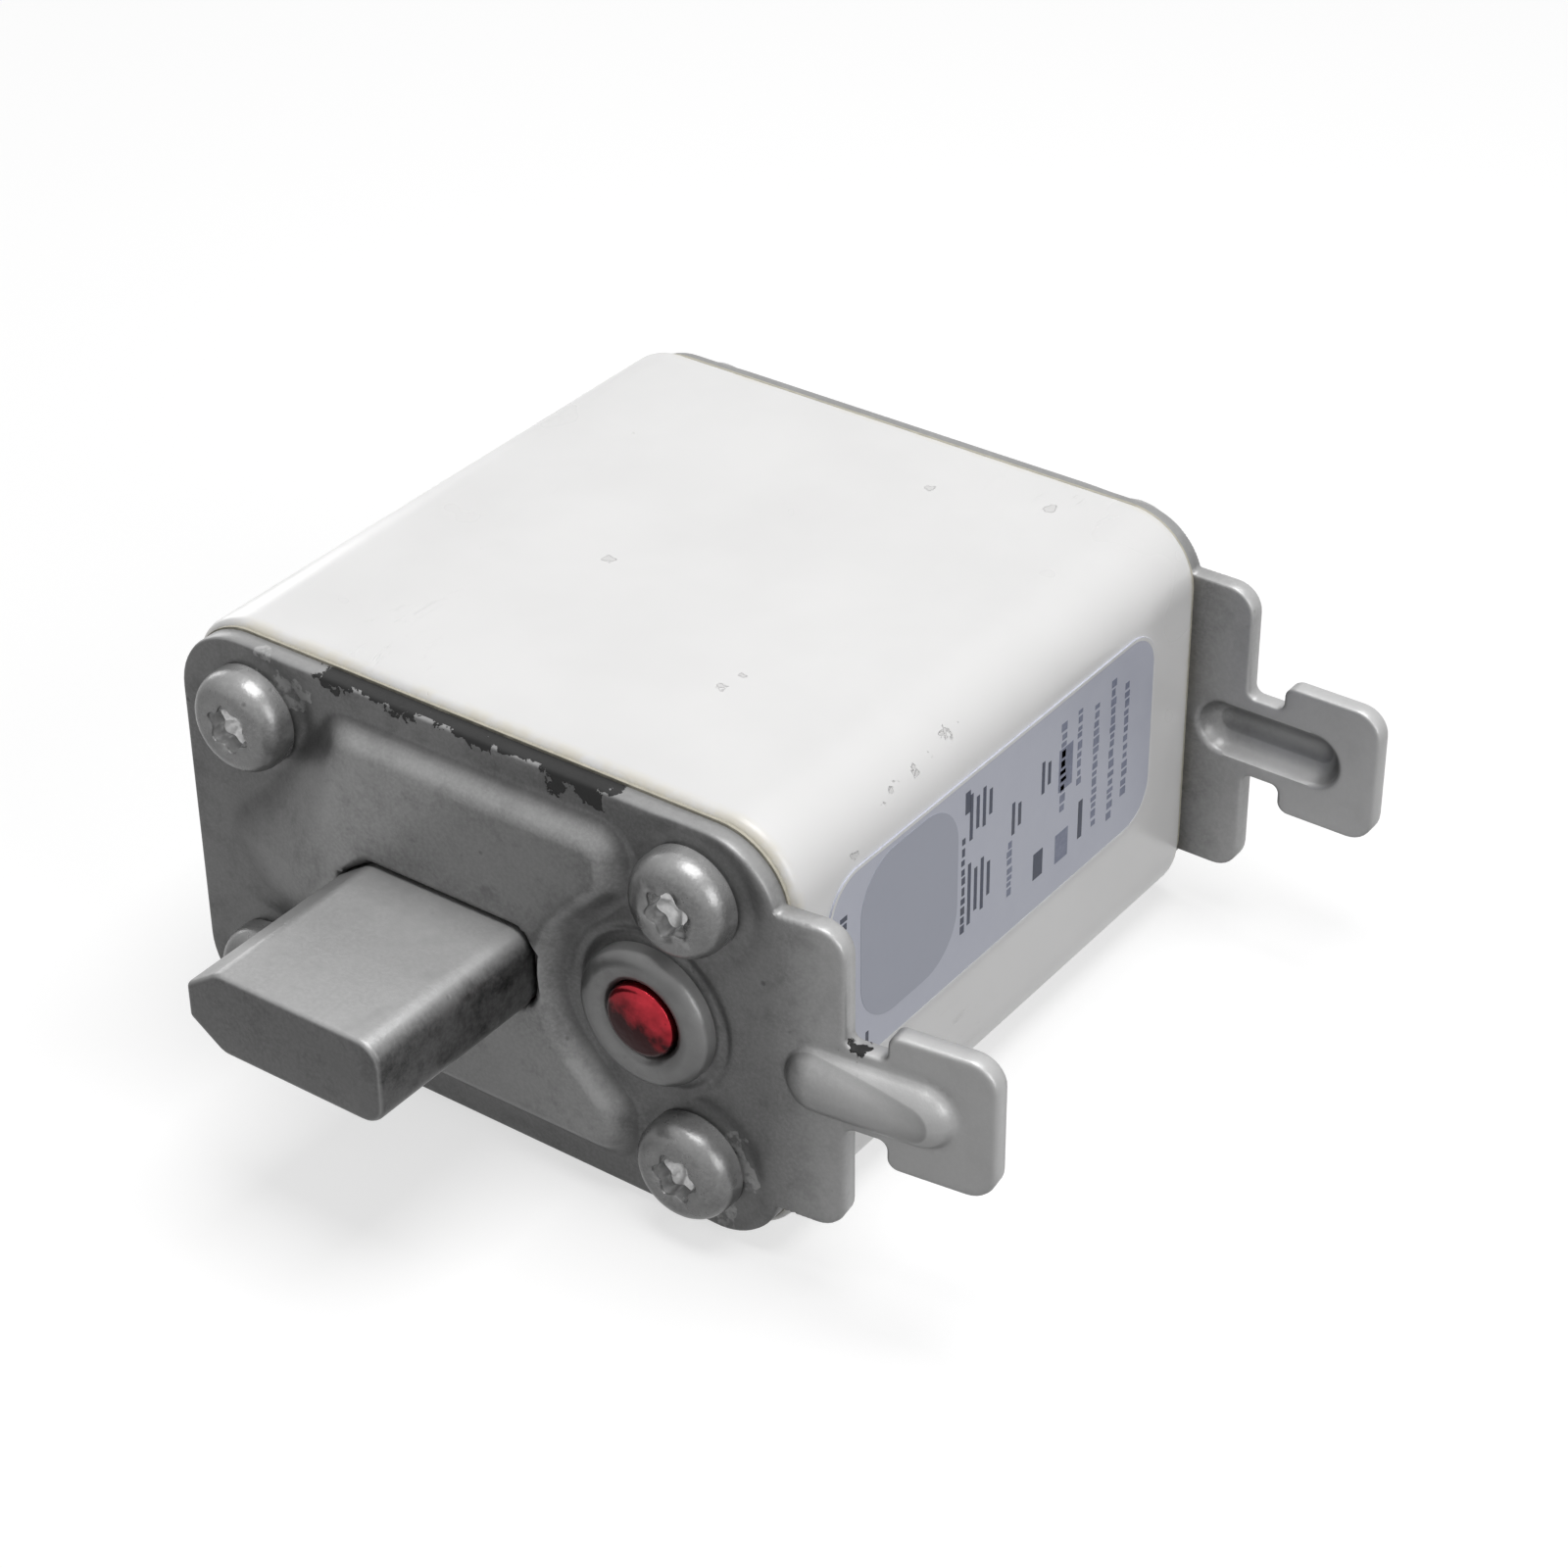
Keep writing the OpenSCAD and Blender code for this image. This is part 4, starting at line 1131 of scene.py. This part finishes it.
# %% [markdown]
# Small print that can't be read is a rhythm of short marks, so a column of dashes of uneven length stands for
# a line of it. Drawing it as an image would be quicker, but shapes stay sharp at any distance.

# %% Shapes of the print


def printed(name, outlines, material, lift=0.0):
    """Thin closed layers of ink on the film, given as outlines in the y-z plane in millimetres."""
    points, faces = [], []
    for outline in outlines:
        first, n = len(points), len(outline)
        points += [(LABEL_HIGH[0] - SUNK, y, z) for y, z in outline]
        points += [(LABEL_X + lift, y, z) for y, z in outline]
        faces += loft_faces(n, 2, True, first)
    return make_piece(name, points, faces, material, [])


def bar(y, z, across, along):
    """A bar with its middle at y and z."""
    return [(y - across / 2, z - along / 2), (y + across / 2, z - along / 2),
            (y + across / 2, z + along / 2), (y - across / 2, z + along / 2)]


def dashes(y, low, high, across, seed):
    """A column of short dashes of uneven length, like small print too fine to read."""
    random = np.random.default_rng(seed)
    column, z = [], low
    while z < high:
        along = random.uniform(0.3, 0.62)
        at_y = y + random.uniform(-0.05, 0.05)
        column.append(bar(at_y, z + along / 2, across * random.uniform(0.6, 1.0), along))
        z += along + random.uniform(0.14, 0.3)
    return column


def bar_group(y, z, longest, count):
    """A few thin bars side by side, each a little shorter or longer than the next."""
    shares = (1.0, 0.7, 0.85, 0.55)
    return [bar(y + (k - (count - 1) / 2) * 0.72, z, 0.34, longest * shares[k]) for k in range(count)]


print("print helpers ready")

# %% [markdown]
# The marks are set in columns along the label, as the real print is: darker ones near the indicator end, and
# fainter ones toward the plain end.

# %% Columns, bars and the plain block
# A column is y, its low and high end, its width and the seed of its dashes.
DARK_COLUMNS = [(-17.9, 12.2, 22.2, 0.8, 3), (-5.1, 13.6, 20.6, 0.45, 4)]
BAR_GROUPS = [(-3.2, 21.9, 3.4, 4), (-3.3, 16.2, 4.6, 4), (0.9, 19.1, 2.4, 2), (4.3, 20.3, 2.4, 2)]
DARK_BARS = [(8.6, 14.6, 0.5, 2.9), (-4.7, 23.2, 0.55, 1.6), (3.6, 13.9, 1.1, 2.0), (-15.4, 11.9, 0.3, 1.0)]
FAINT_COLUMNS = [
    (0.2, 13.4, 17.6, 0.6, 5), (6.3, 16.5, 22.8, 0.7, 6), (8.2, 17.5, 23.0, 0.6, 7),
    (10.2, 13.2, 22.6, 0.7, 8), (12.2, 12.6, 22.9, 0.7, 9), (13.9, 13.6, 22.2, 0.7, 10),
]
FAINT_BARS = [(6.6, 19.7, 1.6, 3.2), (6.4, 13.8, 1.5, 2.2)]
dark = [dash for column in DARK_COLUMNS for dash in dashes(*column)]
dark += [each for group in BAR_GROUPS for each in bar_group(*group)]
dark += [bar(*each) for each in DARK_BARS]
faint = [dash for column in FAINT_COLUMNS for dash in dashes(*column)]
faint += [bar(*each) for each in FAINT_BARS]
printed("label_dark_bars", dark, INK)
printed("label_faint_bars", faint, FADED_INK)
BLOCK_W, BLOCK_H, BLOCK_R, BLOCK_AT, BLOCK_LIFT = 5.2, 6.0, 3.6, (-10.9, 18.5), 0.006
block_corners = [(-BLOCK_W, -BLOCK_H), (BLOCK_W, -BLOCK_H), (BLOCK_W, BLOCK_H), (-BLOCK_W, BLOCK_H)]
block_shape = rounded([(y, z, BLOCK_R) for y, z in block_corners])
printed("label_plain_block", [block_shape + np.array(BLOCK_AT)], BLOCK_INK, BLOCK_LIFT)


def label_edge_highlight():
    """A narrow pale ring round the film's cut edge, a painted highlight."""
    y0, y1, z0, z1 = LABEL_LOW[1], LABEL_HIGH[1], LABEL_LOW[2], LABEL_HIGH[2]
    corners = [(y0, z0, LABEL_R), (y1, z0, LABEL_R), (y1, z1, LABEL_R), (y0, z1, LABEL_R)]
    outer, inner = rounded(corners, -0.02), rounded(corners, -0.24)
    n = len(outer)
    low = LABEL_HIGH[0] - SUNK
    rings = ((low, outer), (LABEL_X, outer), (LABEL_X, inner), (low, inner))
    points = [(x, y, z) for x, ring in rings for y, z in ring]
    faces = loft_faces(n, len(rings), closed_ends=False)
    faces += [(3 * n + i, 3 * n + (i + 1) % n, (i + 1) % n, i) for i in range(n)]
    make_piece("painted_film_edge_highlight", points, faces, EDGE_HIGHLIGHT, [])


label_edge_highlight()

# %% [markdown]
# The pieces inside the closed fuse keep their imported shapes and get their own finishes, so that the model
# can be opened later.

# %% Finishes of the inner pieces
INNER = {
    "front_gasket": GASKET, "rear_gasket": GASKET,
    "front_contact_plate": COPPER, "rear_contact_plate": COPPER,
    **{f"fuse_element_{k}": SILVER for k in (1, 2, 3, 4)},
    "sand_filling": SAND, "indicator_spring": SPRING_STEEL, "wire_sleeve": SLEEVE,
    "trip_wire_strand": WIRE, "filler_plug": SCREW_STEEL,
}
for node, material in INNER.items():
    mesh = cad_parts[node].data
    mesh.materials.clear()
    mesh.materials.append(material)
print("finished", len(INNER), "inner pieces")

# %% [markdown]
# The stage: a pale floor under the fuse, a pale world that only the camera and reflections see as white,
# and three soft lamps. The main light comes from above, as in the photo, so upward faces are bright and the
# faces toward the viewer stay mid grey. A weak lamp on each side keeps the white walls pale.

# %% Floor, world and lamps
FLOOR_BOUNCE = 0.12
FLOOR_SHOWN = 0.45
FLOOR_GLOW = 1 - FLOOR_SHOWN * 0.78
FLOOR_HALF, FLOOR_LEVEL = 1.5, -0.0002
WORLD_LIGHT, WORLD_SHOWN = 0.12, 1.0
AIM = Vector((0, 0, 0.015))


def shown_rays(nt):
    """1 for what is seen directly, in metal or through glass, and 0 for light that falls on the fuse."""
    path = nt.nodes.new("ShaderNodeLightPath")
    return union(nt, [path.outputs[ray] for ray in ("Is Camera Ray", "Is Glossy Ray", "Is Transmission Ray")])


def stage_floor():
    mesh = bpy.data.meshes.new("pale_floor")
    corners = [(sx * FLOOR_HALF, sy * FLOOR_HALF, FLOOR_LEVEL) for sx, sy in ROUND_ORDER]
    mesh.from_pydata(corners, [], [(0, 1, 2, 3)])
    floor = bpy.data.objects.new("pale_floor", mesh)
    bpy.context.scene.collection.objects.link(floor)
    mat, nt, bsdf = new_material("pale_floor")
    seen = shown_rays(nt)
    link(nt, spread(nt, seen, 0, 1, FLOOR_BOUNCE, FLOOR_SHOWN), bsdf.inputs["Base Color"])
    link(nt, spread(nt, seen, 0, 1, 0.0, FLOOR_GLOW), bsdf.inputs["Emission Strength"])
    bsdf.inputs["Emission Color"].default_value = grey(1.0)
    bsdf.inputs["Roughness"].default_value = 0.9
    bsdf.inputs["Specular IOR Level"].default_value = 0.0
    mesh.materials.append(mat)


def pale_world():
    world = bpy.data.worlds.new("pale_world")
    bpy.context.scene.world = world
    world.use_nodes = True
    nt = world.node_tree
    back = nt.nodes["Background"]
    back.inputs["Color"].default_value = grey(1.0)
    link(nt, spread(nt, shown_rays(nt), 0, 1, WORLD_LIGHT, WORLD_SHOWN), back.inputs["Strength"])


def soft_lamp(name, place_m, size_m, watts):
    data = bpy.data.lights.new(name, "AREA")
    data.shape = "RECTANGLE"
    data.size, data.size_y = size_m
    data.energy = watts
    lamp = bpy.data.objects.new(name, data)
    lamp.location = place_m
    lamp.rotation_euler = (AIM - Vector(place_m)).to_track_quat("-Z", "Y").to_euler()
    bpy.context.scene.collection.objects.link(lamp)


stage_floor()
pale_world()
soft_lamp("top_light", (0.05, 0.0, 0.45), (0.30, 0.26), 1.4)
soft_lamp("left_light", (-0.50, 0.22, 0.12), (0.25, 0.3), 0.6)
soft_lamp("right_light", (0.45, -0.05, 0.22), (0.25, 0.3), 0.75)
print("stage set")

# %% [markdown]
# The camera was found by matching the fuse's known sizes to its edges in the photo: azimuth, elevation and
# distance, with the lens that goes with them.

# %% The camera
CAMERA_AT = (0.12702, -0.16505, 0.15174)
CAMERA_TURNS = (56.295, 0.472, 35.863)
FOCAL_PX = 3854.5
IMAGE_PX = 1600
SENSOR_MM = 36.0

data = bpy.data.cameras.new("camera")
data.sensor_width = SENSOR_MM
data.lens = FOCAL_PX / IMAGE_PX * SENSOR_MM
data.clip_start, data.clip_end = 0.01, 10
camera = bpy.data.objects.new("camera", data)
camera.location = CAMERA_AT
camera.rotation_euler = [math.radians(turn) for turn in CAMERA_TURNS]
bpy.context.scene.collection.objects.link(camera)
bpy.context.scene.camera = camera
bpy.context.scene.view_settings.view_transform = "Standard"
print("lens", round(data.lens, 1), "mm")
